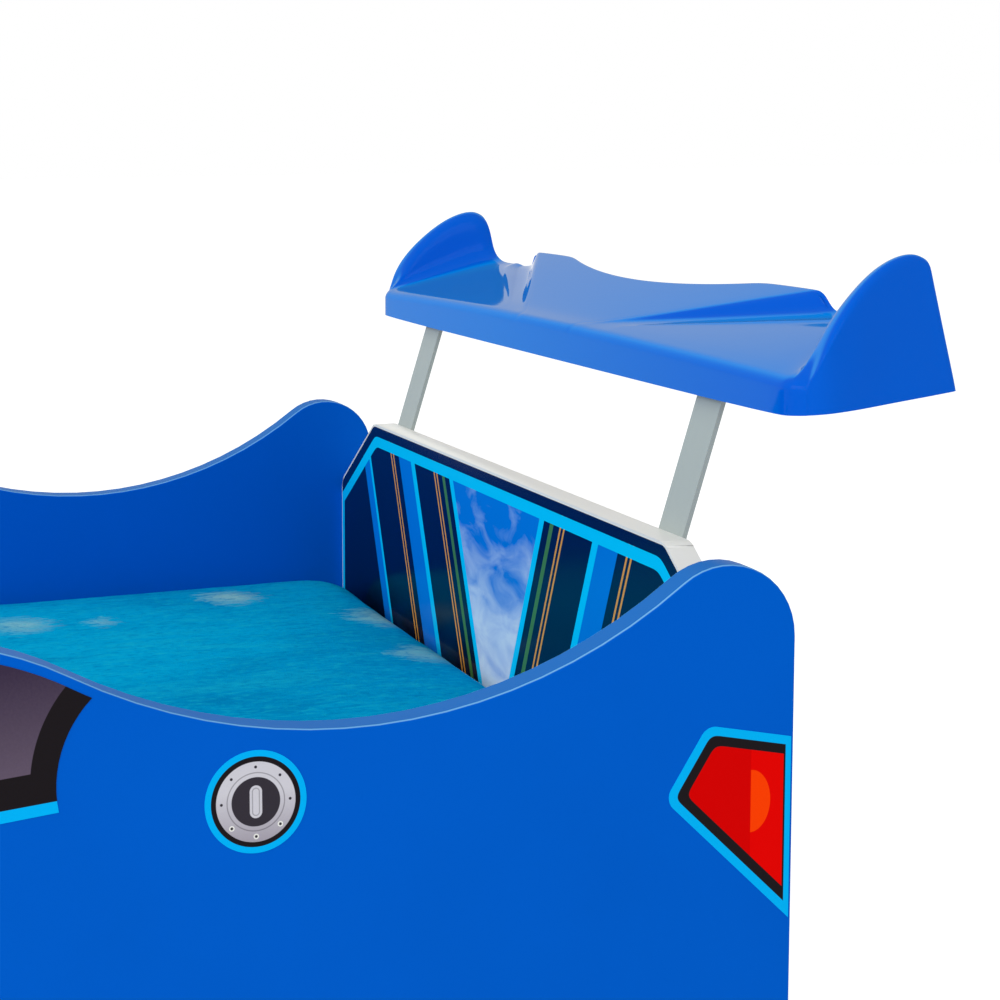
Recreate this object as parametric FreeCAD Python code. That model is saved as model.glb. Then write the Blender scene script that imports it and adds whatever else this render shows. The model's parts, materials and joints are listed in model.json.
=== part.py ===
import FreeCAD, Part
import math
import os
from FreeCAD import Vector

# Child's car bed: two wavy side panels of board joined by a tail board and a nose board,
# slats on side rails, a lift-out mattress with a fitted sheet, thin printed films on the
# faces, four wheel discs and a formed plastic spoiler on two bent flat bars.
# Millimetres. +Y is the tail with the spoiler, +X the car's left side, +Z up.
# The origin is at the middle of the whole bed's footprint, on the floor.

# ---- Driving dimensions -------------------------------------------------------------
INTERIOR_WIDTH = 720.0
INTERIOR_LENGTH = 1412.0
PANEL_T = 18.0
TAIL_BOARD_T = 18.0
NOSE_BOARD_T = 18.0
TAIL_INSET = 10.0
NOSE_OVERHANG = 22.0

# side panel outline, heights from the floor, distances forward of the tail edge (..._U)
# or back from the nose edge (..._SETBACK)
CREST_Z = 500.0
CREST_R = 44.0
VALLEY_U = 262.0
VALLEY_Z = 427.0
ROOF_START_U = 507.0
ROOF_Z = 491.0
ROOF_END_SETBACK = 710.0
ROOF_FRONT_R = 120.0
HOOD_SETBACK = 460.0
HOOD_Z = 384.0
NOSE_R = 110.0
SILL_Z = 75.0
SILL_CORNER_R = 40.0
PANEL_EDGE_R = 1.5

# wheels and feet
REAR_WHEEL_U = 300.0
FRONT_WHEEL_SETBACK = 290.0
WHEEL_Z = 108.0
LOBE_R = 118.0
WHEEL_R = 102.0
WHEEL_T = 12.0
WHEEL_EDGE_R = 3.0
WHEEL_SCREW_CIRCLE_R = 55.0
WHEEL_SCREW_COUNT = 3
GLIDE_R = 8.0
GLIDE_H = 4.0
GLIDE_SPREAD = 60.0
GLIDE_PIN_R = 1.5
GLIDE_PIN_L = 12.0

# end boards
TAIL_BOARD_TOP_Z = 491.0
TAIL_BOARD_LOW_Z = 150.0
TAIL_CHAMFER_X = 89.0
TAIL_CHAMFER_Z = 63.0
TAIL_CORNER_R = 14.0
NOSE_BOARD_TOP_Z = 362.0
NOSE_BOARD_LOW_Z = 110.0
NOSE_CORNER_R = 20.0

# slat base
SLAT_BOTTOM_Z = 216.0
SLAT_T = 16.0
SLAT_W = 70.0
SLAT_END_GAP = 2.0
SLAT_PITCH_WANTED = 120.0
SLAT_FIRST_GAP = 22.0
RAIL_T = 22.0
RAIL_H = 45.0
RAIL_END_GAP = 2.0

# bedding
MATTRESS_H = 100.0
MATTRESS_CORNER_R = 40.0
MATTRESS_EDGE_R = 16.0
SHEET_T = 2.0
SHEET_HEM = 90.0
SOFT_GAP = 0.3
BED_SIDE_GAP = 4.0
BED_END_GAP = 3.0

# corner fittings of the end boards
CAM_R = 7.5
CAM_DEPTH = 13.0
CAM_SETBACK = 34.0
CAM_RECESS = 1.2
CAM_SLOT_T = 2.0
CAM_CAP_R = 8.5
CAM_CAP_T = 0.8
CAM_BOLT_R = 3.0
CAM_BOLT_HEAD_R = 3.5
CAM_BOLT_HEAD_L = 3.0
CAM_BOLT_BITE = 11.0
CAM_BOLT_CLEAR = 0.3
DOWEL_R = 4.0
DOWEL_L = 30.0
DOWEL_BITE = 10.0
DOWEL_CLEAR = 0.05
CAM_MARGIN = 40.0

# screws
SCREW_CLEAR = 0.05
RAIL_SCREW_R = 2.2
RAIL_SCREW_L = 34.0
RAIL_SCREW_COUNT = 5
SLAT_SCREW_R = 1.75
SLAT_SCREW_L = 32.0
WHEEL_SCREW_R = 2.0
WHEEL_SCREW_L = 26.0
PAN_HEAD_H = 2.4
HEAD_RATIO = 1.95

# spoiler, heights above the tail board's top, reaches behind the panels' tail edge
SPOILER_SIDE_INSET = 20.5
SPOILER_WALL = 3.0
SPOILER_FRONT_S = 12.0
SPOILER_BACK_S = 112.0
SPOILER_LOW_FRONT = 86.5
SPOILER_LOW_BACK = 99.7
SPOILER_LIP = 110.0
SPOILER_LIP_R = 6.0
SPOILER_DECK_BACK = 134.2
SPOILER_PLATEAU_BACK = 147.0
SPOILER_BACK_LEAN = 0.2365
SPOILER_CORNER_R = 28.0
PLATEAU_FRONT_HALF = 52.0
PLATEAU_BACK_HALF = 225.0
PLATEAU_SIDE_RUN = 30.0
FIN_PEAK_S = 84.0
FIN_PEAK = 179.0
FIN_BELLY_S = 39.0
FIN_BELLY = 153.6
FIN_TIP_R = 10.0
FIN_THICK = 40.0
FIN_FOOT_RUN = 14.0
FIN_FOOT_RISE = 12.0
FIN_TOP_R = 8.0
FIN_ROOT = 8.0
SCOOP_DEPTH = 18.0
SCOOP_HALF = 150.0

# spoiler bars, core and their fasteners
BAR_W = 32.0
BAR_T = 3.0
BAR_INSET = 114.0
BAR_LEG = 112.0
BAR_LEAN_S = 26.0
BAR_LEAN_Z = 84.0
BAR_BEND_R = 4.0
BAR_FLANGE = 50.0
CORE_T = 14.0
CORE_FRONT_S = 19.0
CORE_DEPTH = 60.0
CORE_INSET = 61.5
BAR_SCREW_R = 2.5
BAR_SCREW_L = 15.0
BAR_SCREW_HEAD_R = 4.75
BAR_SCREW_HEAD_H = 2.75
BAR_SCREW_EDGE = 24.0
BAR_SCREW_PITCH = 56.0
INSERT_R = 4.0
INSERT_L = 13.0
CORE_SCREW_R = 1.9
CORE_SCREW_L = 13.0
CORE_SCREW_PITCH = 26.0

# printed films
FILM_T = 0.3
FILM_MARGIN = 2.0
WINDOW_DROP = 6.0
WINDOW_BACK_U = 405.6
WINDOW_BACK_Z = 456.0
WINDOW_BULGE_U = 421.8
WINDOW_BULGE_Z = 431.0
WINDOW_BACK_LOW_U = 424.5
WINDOW_BACK_LOW_Z = 396.8
WINDOW_FRONT_LOW_SETBACK = 545.0
WINDOW_FRONT_LOW_Z = 347.0
WINDOW_FRONT_SETBACK = 490.0
FUEL_CAP_U = 319.3
FUEL_CAP_Z = 391.8
FUEL_CAP_R = 28.0
TAIL_LIGHT_DEPTH_U = 81.0
TAIL_LIGHT_INNER_U = 55.0
TAIL_LIGHT_EDGE_U = 2.0
TAIL_LIGHT_TOP_Z = 409.0
TAIL_LIGHT_FALL = 11.0
TAIL_LIGHT_POINT_Z = 368.0
TAIL_LIGHT_LOW_Z = 291.0
TAIL_LIGHT_R = 9.0
HEADLIGHT_SETBACK = 18.0
HEADLIGHT_L = 107.0
HEADLIGHT_Z = 296.0
HEADLIGHT_R = 24.0
NOSE_PRINT_CAP_GAP = 17.5
NOSE_PRINT_H = 150.0
NOSE_PRINT_R = 40.0
WHEEL_PRINT_MARGIN = 2.0

# ---- Derived sizes ------------------------------------------------------------------
INNER_X = INTERIOR_WIDTH / 2
OUTER_X = INNER_X + PANEL_T
PANEL_LENGTH = TAIL_INSET + TAIL_BOARD_T + INTERIOR_LENGTH + NOSE_BOARD_T + NOSE_OVERHANG
OVERALL_LENGTH = PANEL_LENGTH + SPOILER_BACK_S
ROOF_END_U = PANEL_LENGTH - ROOF_END_SETBACK
HOOD_START_U = PANEL_LENGTH - HOOD_SETBACK
FRONT_WHEEL_U = PANEL_LENGTH - FRONT_WHEEL_SETBACK
SPOILER_WIDTH = 2 * (OUTER_X - SPOILER_SIDE_INSET)
BAR_X = SPOILER_WIDTH / 2 - BAR_INSET
CORE_HALF = SPOILER_WIDTH / 2 - CORE_INSET
NOSE_PRINT_W = 2 * (INNER_X - CAM_SETBACK - CAM_CAP_R - NOSE_PRINT_CAP_GAP)
TAIL_Y = OVERALL_LENGTH / 2 - SPOILER_BACK_S
TAIL_BACK_Y = TAIL_Y - TAIL_INSET
TAIL_FRONT_Y = TAIL_BACK_Y - TAIL_BOARD_T
NOSE_BACK_Y = TAIL_FRONT_Y - INTERIOR_LENGTH
NOSE_FRONT_Y = NOSE_BACK_Y - NOSE_BOARD_T
MIDDLE_Y = (TAIL_FRONT_Y + NOSE_BACK_Y) / 2
SLAT_TOP_Z = SLAT_BOTTOM_Z + SLAT_T
SHEET_LOW_Z = SLAT_TOP_Z + SOFT_GAP
MATTRESS_LOW_Z = SHEET_LOW_Z + SHEET_T + SOFT_GAP
SHEET_TOP_Z = MATTRESS_LOW_Z + MATTRESS_H + SOFT_GAP + SHEET_T
SHEET_W = INTERIOR_WIDTH - 2 * BED_SIDE_GAP
SHEET_L = INTERIOR_LENGTH - 2 * BED_END_GAP
MATTRESS_W = SHEET_W - 2 * (SHEET_T + SOFT_GAP)
MATTRESS_L = SHEET_L - 2 * (SHEET_T + SOFT_GAP)
RAIL_LENGTH = INTERIOR_LENGTH - 2 * RAIL_END_GAP
DECK_BACK_S = SPOILER_BACK_S - (SPOILER_DECK_BACK - SPOILER_LOW_BACK) * SPOILER_BACK_LEAN
DECK_SLOPE = (SPOILER_DECK_BACK - SPOILER_LIP) / (DECK_BACK_S - SPOILER_FRONT_S)
DECK_ANGLE = math.atan(DECK_SLOPE)
BIG = 3000.0
X_AXIS = Vector(1, 0, 0)
Y_AXIS = Vector(0, 1, 0)
Z_AXIS = Vector(0, 0, 1)
SIDES = (("left", 1), ("right", -1))
WHEELS = (("rear", REAR_WHEEL_U), ("front", FRONT_WHEEL_U))


# ---- Helpers ------------------------------------------------------------------------
def side_point(u, z):
    """A point of a side view, from its distance forward of the tail edge and its height."""
    return Vector(0, TAIL_Y - u, z)


def arc_edge(centre_u, centre_z, radius, start_deg, end_deg):
    """An arc of a side view; angles turn from forward (0) to up (90)."""
    angles = [math.radians(a) for a in (start_deg, (start_deg + end_deg) / 2, end_deg)]
    points = [side_point(centre_u + radius * math.cos(a), centre_z + radius * math.sin(a)) for a in angles]
    return Part.Arc(*points).toShape()


def line_edge(start, end):
    return Part.LineSegment(start, end).toShape()


def prism(edges, direction):
    """A solid pushed out from a closed outline."""
    return Part.Face(Part.Wire(Part.__sortEdges__(edges))).extrude(direction)


def polygon_prism(points, direction):
    return Part.Face(Part.makePolygon(list(points) + [points[0]])).extrude(direction)


def box(x_low, x_high, y_low, y_high, z_low, z_high):
    corner = Vector(x_low, y_low, z_low)
    return Part.makeBox(x_high - x_low, y_high - y_low, z_high - z_low, corner)


def cylinder(radius, length, base, axis):
    return Part.makeCylinder(radius, length, base, axis)


def mirrored(shape):
    return shape.mirror(Vector(0, 0, 0), X_AXIS)


def on_side(shape, sign):
    """A piece built on the left (+X) side, or its mirror image."""
    return shape if sign > 0 else mirrored(shape)


def fillet_along(shape, axis, radius, keep):
    """Rounds the straight edges parallel to axis whose middle passes the keep test."""
    edges = []
    for edge in shape.Edges:
        if not isinstance(edge.Curve, Part.Line):
            continue
        if abs(abs(edge.tangentAt(edge.FirstParameter).dot(axis)) - 1) > 1e-6:
            continue
        middle = edge.valueAt((edge.FirstParameter + edge.LastParameter) / 2)
        if keep(middle):
            edges.append(edge)
    return shape.makeFillet(radius, edges)


def export(name, *solids):
    """Writes one node; several solids stay separate pieces in it."""
    shape = solids[0] if len(solids) == 1 else Part.makeCompound(list(solids))
    shape.exportStep("parts/" + name + ".step")
    print("%-26s %2d solid(s) %12.0f mm3 %s" % (name, len(shape.Solids), shape.Volume, shape.isValid()))


def countersunk_screw(tip, axis, shank_r, length):
    """A wood screw whose flat head ends at its start; axis points from head to tip."""
    head_r = shank_r * HEAD_RATIO
    head_h = head_r - shank_r
    start = tip - axis * length
    head = Part.makeCone(head_r, shank_r, head_h, start, axis)
    return head.fuse(cylinder(shank_r, length, start, axis)).removeSplitter()


def countersunk_hole(start, axis, shank_r, length):
    """The hole that such a screw fills, with a named clearance round its shank."""
    head_r = shank_r * HEAD_RATIO
    head_h = head_r - shank_r
    cone = Part.makeCone(head_r, shank_r, head_h, start, axis)
    return cone.fuse(cylinder(shank_r + SCREW_CLEAR, length + SCREW_CLEAR, start, axis))


def pan_screw(start, axis, shank_r, length, head_h):
    """A screw with a raised round head; start is where the head seats."""
    head_r = shank_r * HEAD_RATIO
    head = cylinder(head_r, head_h, start - axis * head_h, axis)
    head = head.makeFillet(head_h * 0.6, [e for e in head.Edges if (e.CenterOfMass - start).Length > head_h * 0.9])
    return head.fuse(cylinder(shank_r, length, start, axis)).removeSplitter()


# ---- Side panels --------------------------------------------------------------------
def wave(du, dz, first_r):
    """Turn angle and second radius of two tangent arcs between two level points."""
    turn = 2 * math.atan(dz / du)
    return math.degrees(turn), du / math.sin(turn) - first_r


def panel_outline():
    """The wavy outline, round from the tail edge over the top to the nose and back."""
    tail_turn, valley_r = wave(VALLEY_U - CREST_R, CREST_Z - VALLEY_Z, CREST_R)
    roof_turn, roof_r = wave(ROOF_START_U - VALLEY_U, ROOF_Z - VALLEY_Z, valley_r)
    front_turn, hood_r = wave(HOOD_START_U - ROOF_END_U, ROOF_Z - HOOD_Z, ROOF_FRONT_R)
    low = SILL_Z
    corner = SILL_CORNER_R
    nose_u = PANEL_LENGTH
    return [
        line_edge(side_point(0, low + corner), side_point(0, CREST_Z - CREST_R)),
        arc_edge(CREST_R, CREST_Z - CREST_R, CREST_R, 180, 90 - tail_turn),
        arc_edge(VALLEY_U, VALLEY_Z + valley_r, valley_r, 270 - tail_turn, 270 + roof_turn),
        arc_edge(ROOF_START_U, ROOF_Z - roof_r, roof_r, 90 + roof_turn, 90),
        line_edge(side_point(ROOF_START_U, ROOF_Z), side_point(ROOF_END_U, ROOF_Z)),
        arc_edge(ROOF_END_U, ROOF_Z - ROOF_FRONT_R, ROOF_FRONT_R, 90, 90 - front_turn),
        arc_edge(HOOD_START_U, HOOD_Z + hood_r, hood_r, 270 - front_turn, 270),
        line_edge(side_point(HOOD_START_U, HOOD_Z), side_point(nose_u - NOSE_R, HOOD_Z)),
        arc_edge(nose_u - NOSE_R, HOOD_Z - NOSE_R, NOSE_R, 90, 0),
        line_edge(side_point(nose_u, HOOD_Z - NOSE_R), side_point(nose_u, low + corner)),
        arc_edge(nose_u - corner, low + corner, corner, 0, -90),
        line_edge(side_point(nose_u - corner, low), side_point(corner, low)),
        arc_edge(corner, low + corner, corner, -90, -180),
    ]


def wheel_lobe(wheel_u):
    """The round foot behind a wheel disc, cut flat above its glides."""
    centre = side_point(wheel_u, WHEEL_Z) + X_AXIS * INNER_X
    disc = cylinder(LOBE_R, PANEL_T, centre, X_AXIS)
    return disc.cut(box(-BIG, BIG, -BIG, BIG, -BIG, GLIDE_H))


def panel_blank():
    """The left panel before its holes, with its long top edges eased."""
    panel = prism(panel_outline(), X_AXIS * PANEL_T)
    panel.translate(X_AXIS * INNER_X)
    top_edges = []
    for edge in panel.Edges:
        middle = edge.valueAt((edge.FirstParameter + edge.LastParameter) / 2)
        on_face = abs(middle.x - INNER_X) < 1e-6 or abs(middle.x - OUTER_X) < 1e-6
        if on_face and edge.BoundBox.ZMax > SILL_Z + SILL_CORNER_R + 1e-6:
            top_edges.append(edge)
    panel = panel.makeFillet(PANEL_EDGE_R, top_edges)
    for _name, wheel_u in WHEELS:
        panel = panel.fuse(wheel_lobe(wheel_u))
    return panel.removeSplitter()


# ---- End boards and their fittings ----------------------------------------------------
def tail_board_blank():
    """The white board at the tail, its top corners cut off and rounded."""
    half = INNER_X
    top = TAIL_BOARD_TOP_Z
    outline = [
        Vector(-half, TAIL_FRONT_Y, TAIL_BOARD_LOW_Z),
        Vector(half, TAIL_FRONT_Y, TAIL_BOARD_LOW_Z),
        Vector(half, TAIL_FRONT_Y, top - TAIL_CHAMFER_Z),
        Vector(half - TAIL_CHAMFER_X, TAIL_FRONT_Y, top),
        Vector(-half + TAIL_CHAMFER_X, TAIL_FRONT_Y, top),
        Vector(-half, TAIL_FRONT_Y, top - TAIL_CHAMFER_Z),
    ]
    board = polygon_prism(outline, Y_AXIS * TAIL_BOARD_T)
    return fillet_along(board, Y_AXIS, TAIL_CORNER_R, lambda m: m.z > top - TAIL_CHAMFER_Z - 1)


def nose_board_blank():
    board = box(-INNER_X, INNER_X, NOSE_FRONT_Y, NOSE_BACK_Y, NOSE_BOARD_LOW_Z, NOSE_BOARD_TOP_Z)
    return fillet_along(board, Y_AXIS, NOSE_CORNER_R, lambda m: m.z > NOSE_BOARD_TOP_Z - 1)


def joint_heights(low, high):
    """Heights of the three cam fittings, and of the two dowels between them."""
    first = low + CAM_MARGIN
    last = high - CAM_MARGIN
    middle = (first + last) / 2
    return (first, middle, last), ((first + middle) / 2, (middle + last) / 2)


TAIL_CAMS, TAIL_DOWELS = joint_heights(TAIL_BOARD_LOW_Z, TAIL_BOARD_TOP_Z - TAIL_CHAMFER_Z)
NOSE_CAMS, NOSE_DOWELS = joint_heights(NOSE_BOARD_LOW_Z, NOSE_BOARD_TOP_Z)
# each end board: its outer face's y, the way out of it, its thickness, fitting heights
END_JOINTS = (
    (TAIL_BACK_Y, 1, TAIL_BOARD_T, TAIL_CAMS, TAIL_DOWELS),
    (NOSE_FRONT_Y, -1, NOSE_BOARD_T, NOSE_CAMS, NOSE_DOWELS),
)


def cam_bolt_middle_y(face_y, out, board_t):
    return face_y - out * board_t / 2


def cam_lock(face_y, out, board_t, z):
    """A round cam in the board's outer face, with the slot that its bolt enters."""
    outward = Y_AXIS * out
    base = Vector(INNER_X - CAM_SETBACK, face_y - out * CAM_RECESS, z)
    length = CAM_DEPTH - CAM_RECESS
    cam = cylinder(CAM_R, length, base - outward * length, outward)
    bolt_y = cam_bolt_middle_y(face_y, out, board_t)
    slot_r = CAM_BOLT_HEAD_R + CAM_BOLT_CLEAR
    slot = cylinder(slot_r, CAM_SETBACK, Vector(INNER_X - CAM_SETBACK - slot_r / 2, bolt_y, z), X_AXIS)
    cross = box(-CAM_R / 2, CAM_R / 2, -CAM_SLOT_T / 2, CAM_SLOT_T / 2, -1, 1)
    cross = cross.fuse(box(-1, 1, -CAM_SLOT_T / 2, CAM_SLOT_T / 2, -CAM_R / 2, CAM_R / 2))
    cross.translate(base)
    return cam.cut(slot).cut(cross)


def cam_bolt(face_y, out, board_t, z):
    """A bolt screwed into the panel whose head sits in the cam."""
    y = cam_bolt_middle_y(face_y, out, board_t)
    tip = Vector(INNER_X - CAM_SETBACK + CAM_BOLT_CLEAR, y, z)
    head = cylinder(CAM_BOLT_HEAD_R, CAM_BOLT_HEAD_L, tip, X_AXIS)
    shank = cylinder(CAM_BOLT_R, CAM_SETBACK + CAM_BOLT_BITE - CAM_BOLT_CLEAR, tip, X_AXIS)
    return head.fuse(shank).removeSplitter()


def cam_cap(face_y, out, z):
    """A push-in cover over a cam."""
    outward = Y_AXIS * out
    seat = Vector(INNER_X - CAM_SETBACK, face_y, z)
    flange = cylinder(CAM_CAP_R, CAM_CAP_T, seat, outward)
    plug = cylinder(CAM_R, CAM_RECESS, seat - outward * CAM_RECESS, outward)
    return flange.fuse(plug).removeSplitter()


def dowel(face_y, out, board_t, z):
    y = cam_bolt_middle_y(face_y, out, board_t)
    return cylinder(DOWEL_R, DOWEL_L, Vector(INNER_X + DOWEL_BITE - DOWEL_L, y, z), X_AXIS)


def joint_cutters():
    """Everything the fittings need cut out of the left panel and the boards."""
    cuts = []
    for face_y, out, board_t, cams, dowels in END_JOINTS:
        y = cam_bolt_middle_y(face_y, out, board_t)
        for z in cams:
            pocket = Vector(INNER_X - CAM_SETBACK, face_y, z)
            cuts.append(cylinder(CAM_R, CAM_DEPTH, pocket, Y_AXIS * -out))
            bolt_path = Vector(INNER_X - CAM_SETBACK, y, z)
            cuts.append(cylinder(CAM_BOLT_HEAD_R + CAM_BOLT_CLEAR, CAM_SETBACK, bolt_path, X_AXIS))
            thread_hole = Vector(INNER_X, y, z)
            cuts.append(cylinder(CAM_BOLT_R + SCREW_CLEAR, CAM_BOLT_BITE + SCREW_CLEAR, thread_hole, X_AXIS))
        for z in dowels:
            start = Vector(INNER_X + DOWEL_BITE - DOWEL_L - DOWEL_CLEAR, y, z)
            cuts.append(cylinder(DOWEL_R + DOWEL_CLEAR, DOWEL_L + 2 * DOWEL_CLEAR, start, X_AXIS))
    return cuts


# ---- Slat base ------------------------------------------------------------------------
RAIL_SCREW_Z = SLAT_BOTTOM_Z - RAIL_H / 2
RAIL_SCREW_TIP_X = INNER_X - RAIL_T + RAIL_SCREW_L
SLAT_SCREW_X = INNER_X - RAIL_T / 2


def slat_places():
    """The y of each slat's middle, spread evenly between the end boards."""
    first = NOSE_BACK_Y + SLAT_FIRST_GAP + SLAT_W / 2
    last = TAIL_FRONT_Y - SLAT_FIRST_GAP - SLAT_W / 2
    gaps = max(1, round((last - first) / SLAT_PITCH_WANTED))
    return [first + (last - first) * i / gaps for i in range(gaps + 1)]


def rail_screw_places():
    """Screws sit midway between slats, so that they miss the slat screws."""
    slats = slat_places()
    wanted = [i * (len(slats) - 2) / (RAIL_SCREW_COUNT - 1) for i in range(RAIL_SCREW_COUNT)]
    return [(slats[round(i)] + slats[round(i) + 1]) / 2 for i in wanted]


def rail_blank():
    low = SLAT_BOTTOM_Z - RAIL_H
    rail = box(INNER_X - RAIL_T, INNER_X, MIDDLE_Y - RAIL_LENGTH / 2, MIDDLE_Y + RAIL_LENGTH / 2, low, SLAT_BOTTOM_Z)
    for y in slat_places():
        start = Vector(SLAT_SCREW_X, y, SLAT_TOP_Z)
        rail = rail.cut(countersunk_hole(start, -Z_AXIS, SLAT_SCREW_R, SLAT_SCREW_L))
    for y in rail_screw_places():
        start = Vector(INNER_X - RAIL_T, y, RAIL_SCREW_Z)
        rail = rail.cut(countersunk_hole(start, X_AXIS, RAIL_SCREW_R, RAIL_SCREW_L))
    return rail


def slat(y):
    half = INNER_X - SLAT_END_GAP
    plank = box(-half, half, y - SLAT_W / 2, y + SLAT_W / 2, SLAT_BOTTOM_Z, SLAT_TOP_Z)
    for sign in (1, -1):
        start = Vector(sign * SLAT_SCREW_X, y, SLAT_TOP_Z)
        plank = plank.cut(countersunk_hole(start, -Z_AXIS, SLAT_SCREW_R, SLAT_SCREW_L))
    return plank


# ---- Bedding --------------------------------------------------------------------------
def soft_block(width, length, low, high, corner_r, edge_r):
    """A block with round corners and softened top and bottom edges."""
    block = box(-width / 2, width / 2, MIDDLE_Y - length / 2, MIDDLE_Y + length / 2, low, high)
    block = fillet_along(block, Z_AXIS, corner_r, lambda m: True)
    rims = [e for e in block.Edges if e.BoundBox.ZLength < 1e-6]
    return block.makeFillet(edge_r, rims)


def mattress():
    high = MATTRESS_LOW_Z + MATTRESS_H
    return soft_block(MATTRESS_W, MATTRESS_L, MATTRESS_LOW_Z, high, MATTRESS_CORNER_R, MATTRESS_EDGE_R)


def fitted_sheet():
    """A thin cover over the top and sides, tucked a hem's width under the mattress."""
    grow = SHEET_T + SOFT_GAP
    outer = soft_block(SHEET_W, SHEET_L, SHEET_LOW_Z, SHEET_TOP_Z, MATTRESS_CORNER_R + grow, MATTRESS_EDGE_R + grow)
    inner_w = MATTRESS_W + 2 * SOFT_GAP
    inner_l = MATTRESS_L + 2 * SOFT_GAP
    inner = soft_block(inner_w, inner_l, SHEET_LOW_Z + SHEET_T, SHEET_TOP_Z - SHEET_T,
                       MATTRESS_CORNER_R + SOFT_GAP, MATTRESS_EDGE_R + SOFT_GAP)
    half_x = SHEET_W / 2 - SHEET_HEM
    half_y = SHEET_L / 2 - SHEET_HEM
    mouth = box(-half_x, half_x, MIDDLE_Y - half_y, MIDDLE_Y + half_y, SHEET_LOW_Z - 1, MATTRESS_LOW_Z + 1)
    return outer.cut(inner).cut(mouth)


# ---- Wheels and feet --------------------------------------------------------------------
def wheel_disc(wheel_u):
    centre = side_point(wheel_u, WHEEL_Z) + X_AXIS * OUTER_X
    disc = cylinder(WHEEL_R, WHEEL_T, centre, X_AXIS)
    rim = [e for e in disc.Edges if abs(e.CenterOfMass.x - OUTER_X - WHEEL_T) < 1e-6]
    return disc.makeFillet(WHEEL_EDGE_R, rim)


def wheel_print(wheel_u):
    centre = side_point(wheel_u, WHEEL_Z) + X_AXIS * (OUTER_X + WHEEL_T)
    return cylinder(WHEEL_R - WHEEL_EDGE_R - WHEEL_PRINT_MARGIN, FILM_T, centre, X_AXIS)


def wheel_screw_starts(wheel_u):
    starts = []
    for i in range(WHEEL_SCREW_COUNT):
        turn = math.radians(90 + 360 * i / WHEEL_SCREW_COUNT)
        u = wheel_u + WHEEL_SCREW_CIRCLE_R * math.cos(turn)
        z = WHEEL_Z + WHEEL_SCREW_CIRCLE_R * math.sin(turn)
        starts.append(side_point(u, z) + X_AXIS * INNER_X)
    return starts


def glide_places():
    """Where each glide's pin enters the left panel's feet."""
    middle_x = INNER_X + PANEL_T / 2
    places = []
    for _name, wheel_u in WHEELS:
        for shift in (-GLIDE_SPREAD / 2, GLIDE_SPREAD / 2):
            places.append(side_point(wheel_u + shift, GLIDE_H) + X_AXIS * middle_x)
    return places


def glide(place):
    pad = cylinder(GLIDE_R, GLIDE_H, place, -Z_AXIS)
    pin = cylinder(GLIDE_PIN_R, GLIDE_PIN_L, place, Z_AXIS)
    return pad.fuse(pin).removeSplitter()


# ---- Spoiler ------------------------------------------------------------------------------
def tail_point(s, rise):
    """A point of the spoiler's side view, behind the tail edge and above the tail board."""
    return Vector(0, TAIL_Y + s, TAIL_BOARD_TOP_Z + rise)


def back_s(rise):
    """How far back the leaning rear wall is at a height."""
    return SPOILER_BACK_S - (rise - SPOILER_LOW_BACK) * SPOILER_BACK_LEAN


def deck_rise(s):
    return SPOILER_LIP + (s - SPOILER_FRONT_S) * DECK_SLOPE


def widen(points, half):
    """A solid across the whole width from a closed side view."""
    shifted = [p - X_AXIS * half for p in points]
    return polygon_prism(shifted, X_AXIS * 2 * half)


def wing_body(inset):
    """The sloping deck with its skirt; inset shrinks it to the hollow, open below."""
    half = SPOILER_WIDTH / 2 - inset
    drop = (SPOILER_LOW_BACK - SPOILER_LOW_FRONT) if inset else 0.0
    front = SPOILER_FRONT_S + inset
    lift = inset / math.cos(DECK_ANGLE)
    deck_back = SPOILER_DECK_BACK - lift
    points = [
        tail_point(front, SPOILER_LOW_FRONT - drop),
        tail_point(front, deck_rise(front) - lift),
        tail_point(back_s(deck_back) - inset, deck_back),
        tail_point(SPOILER_BACK_S - inset, SPOILER_LOW_BACK),
    ]
    if drop:
        points.append(tail_point(SPOILER_BACK_S - inset, SPOILER_LOW_FRONT - drop))
    body = widen(points, half)
    lip = points[1]
    radius = SPOILER_LIP_R - inset / 2
    return fillet_along(body, X_AXIS, radius, lambda m: (m - lip - X_AXIS * m.x).Length < 1e-3)


def plateau_body(inset):
    """The raised middle of the deck, wider towards the back, with sloping sides."""
    front = SPOILER_FRONT_S + SPOILER_LIP_R + inset
    top_back = SPOILER_PLATEAU_BACK - inset / math.cos(DECK_ANGLE)
    back_top = back_s(top_back) - inset
    front_rise = deck_rise(front) - inset / math.cos(DECK_ANGLE)
    low_rise = SPOILER_LOW_BACK + 2 * inset
    wedge = widen([tail_point(front, low_rise), tail_point(front, front_rise), tail_point(back_top, top_back),
                   tail_point(back_s(low_rise) - inset, low_rise)], SPOILER_WIDTH / 2)
    height = top_back - low_rise
    run = PLATEAU_SIDE_RUN * height / (SPOILER_PLATEAU_BACK - SPOILER_DECK_BACK)
    side = PLATEAU_SIDE_RUN * inset / (SPOILER_PLATEAU_BACK - SPOILER_DECK_BACK)
    rings = []
    for rise, spread in ((low_rise, run), (top_back, 0.0)):
        front_half = X_AXIS * (PLATEAU_FRONT_HALF - side / 2 + spread)
        back_half = X_AXIS * (PLATEAU_BACK_HALF - side / 2 + spread)
        at_front = tail_point(SPOILER_FRONT_S, rise)
        at_back = tail_point(SPOILER_BACK_S, rise)
        loop = [at_front - front_half, at_front + front_half, at_back + back_half, at_back - back_half]
        rings.append(Part.makePolygon(loop + [loop[0]]))
    return wedge.common(Part.makeLoft(rings, True, True))


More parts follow.
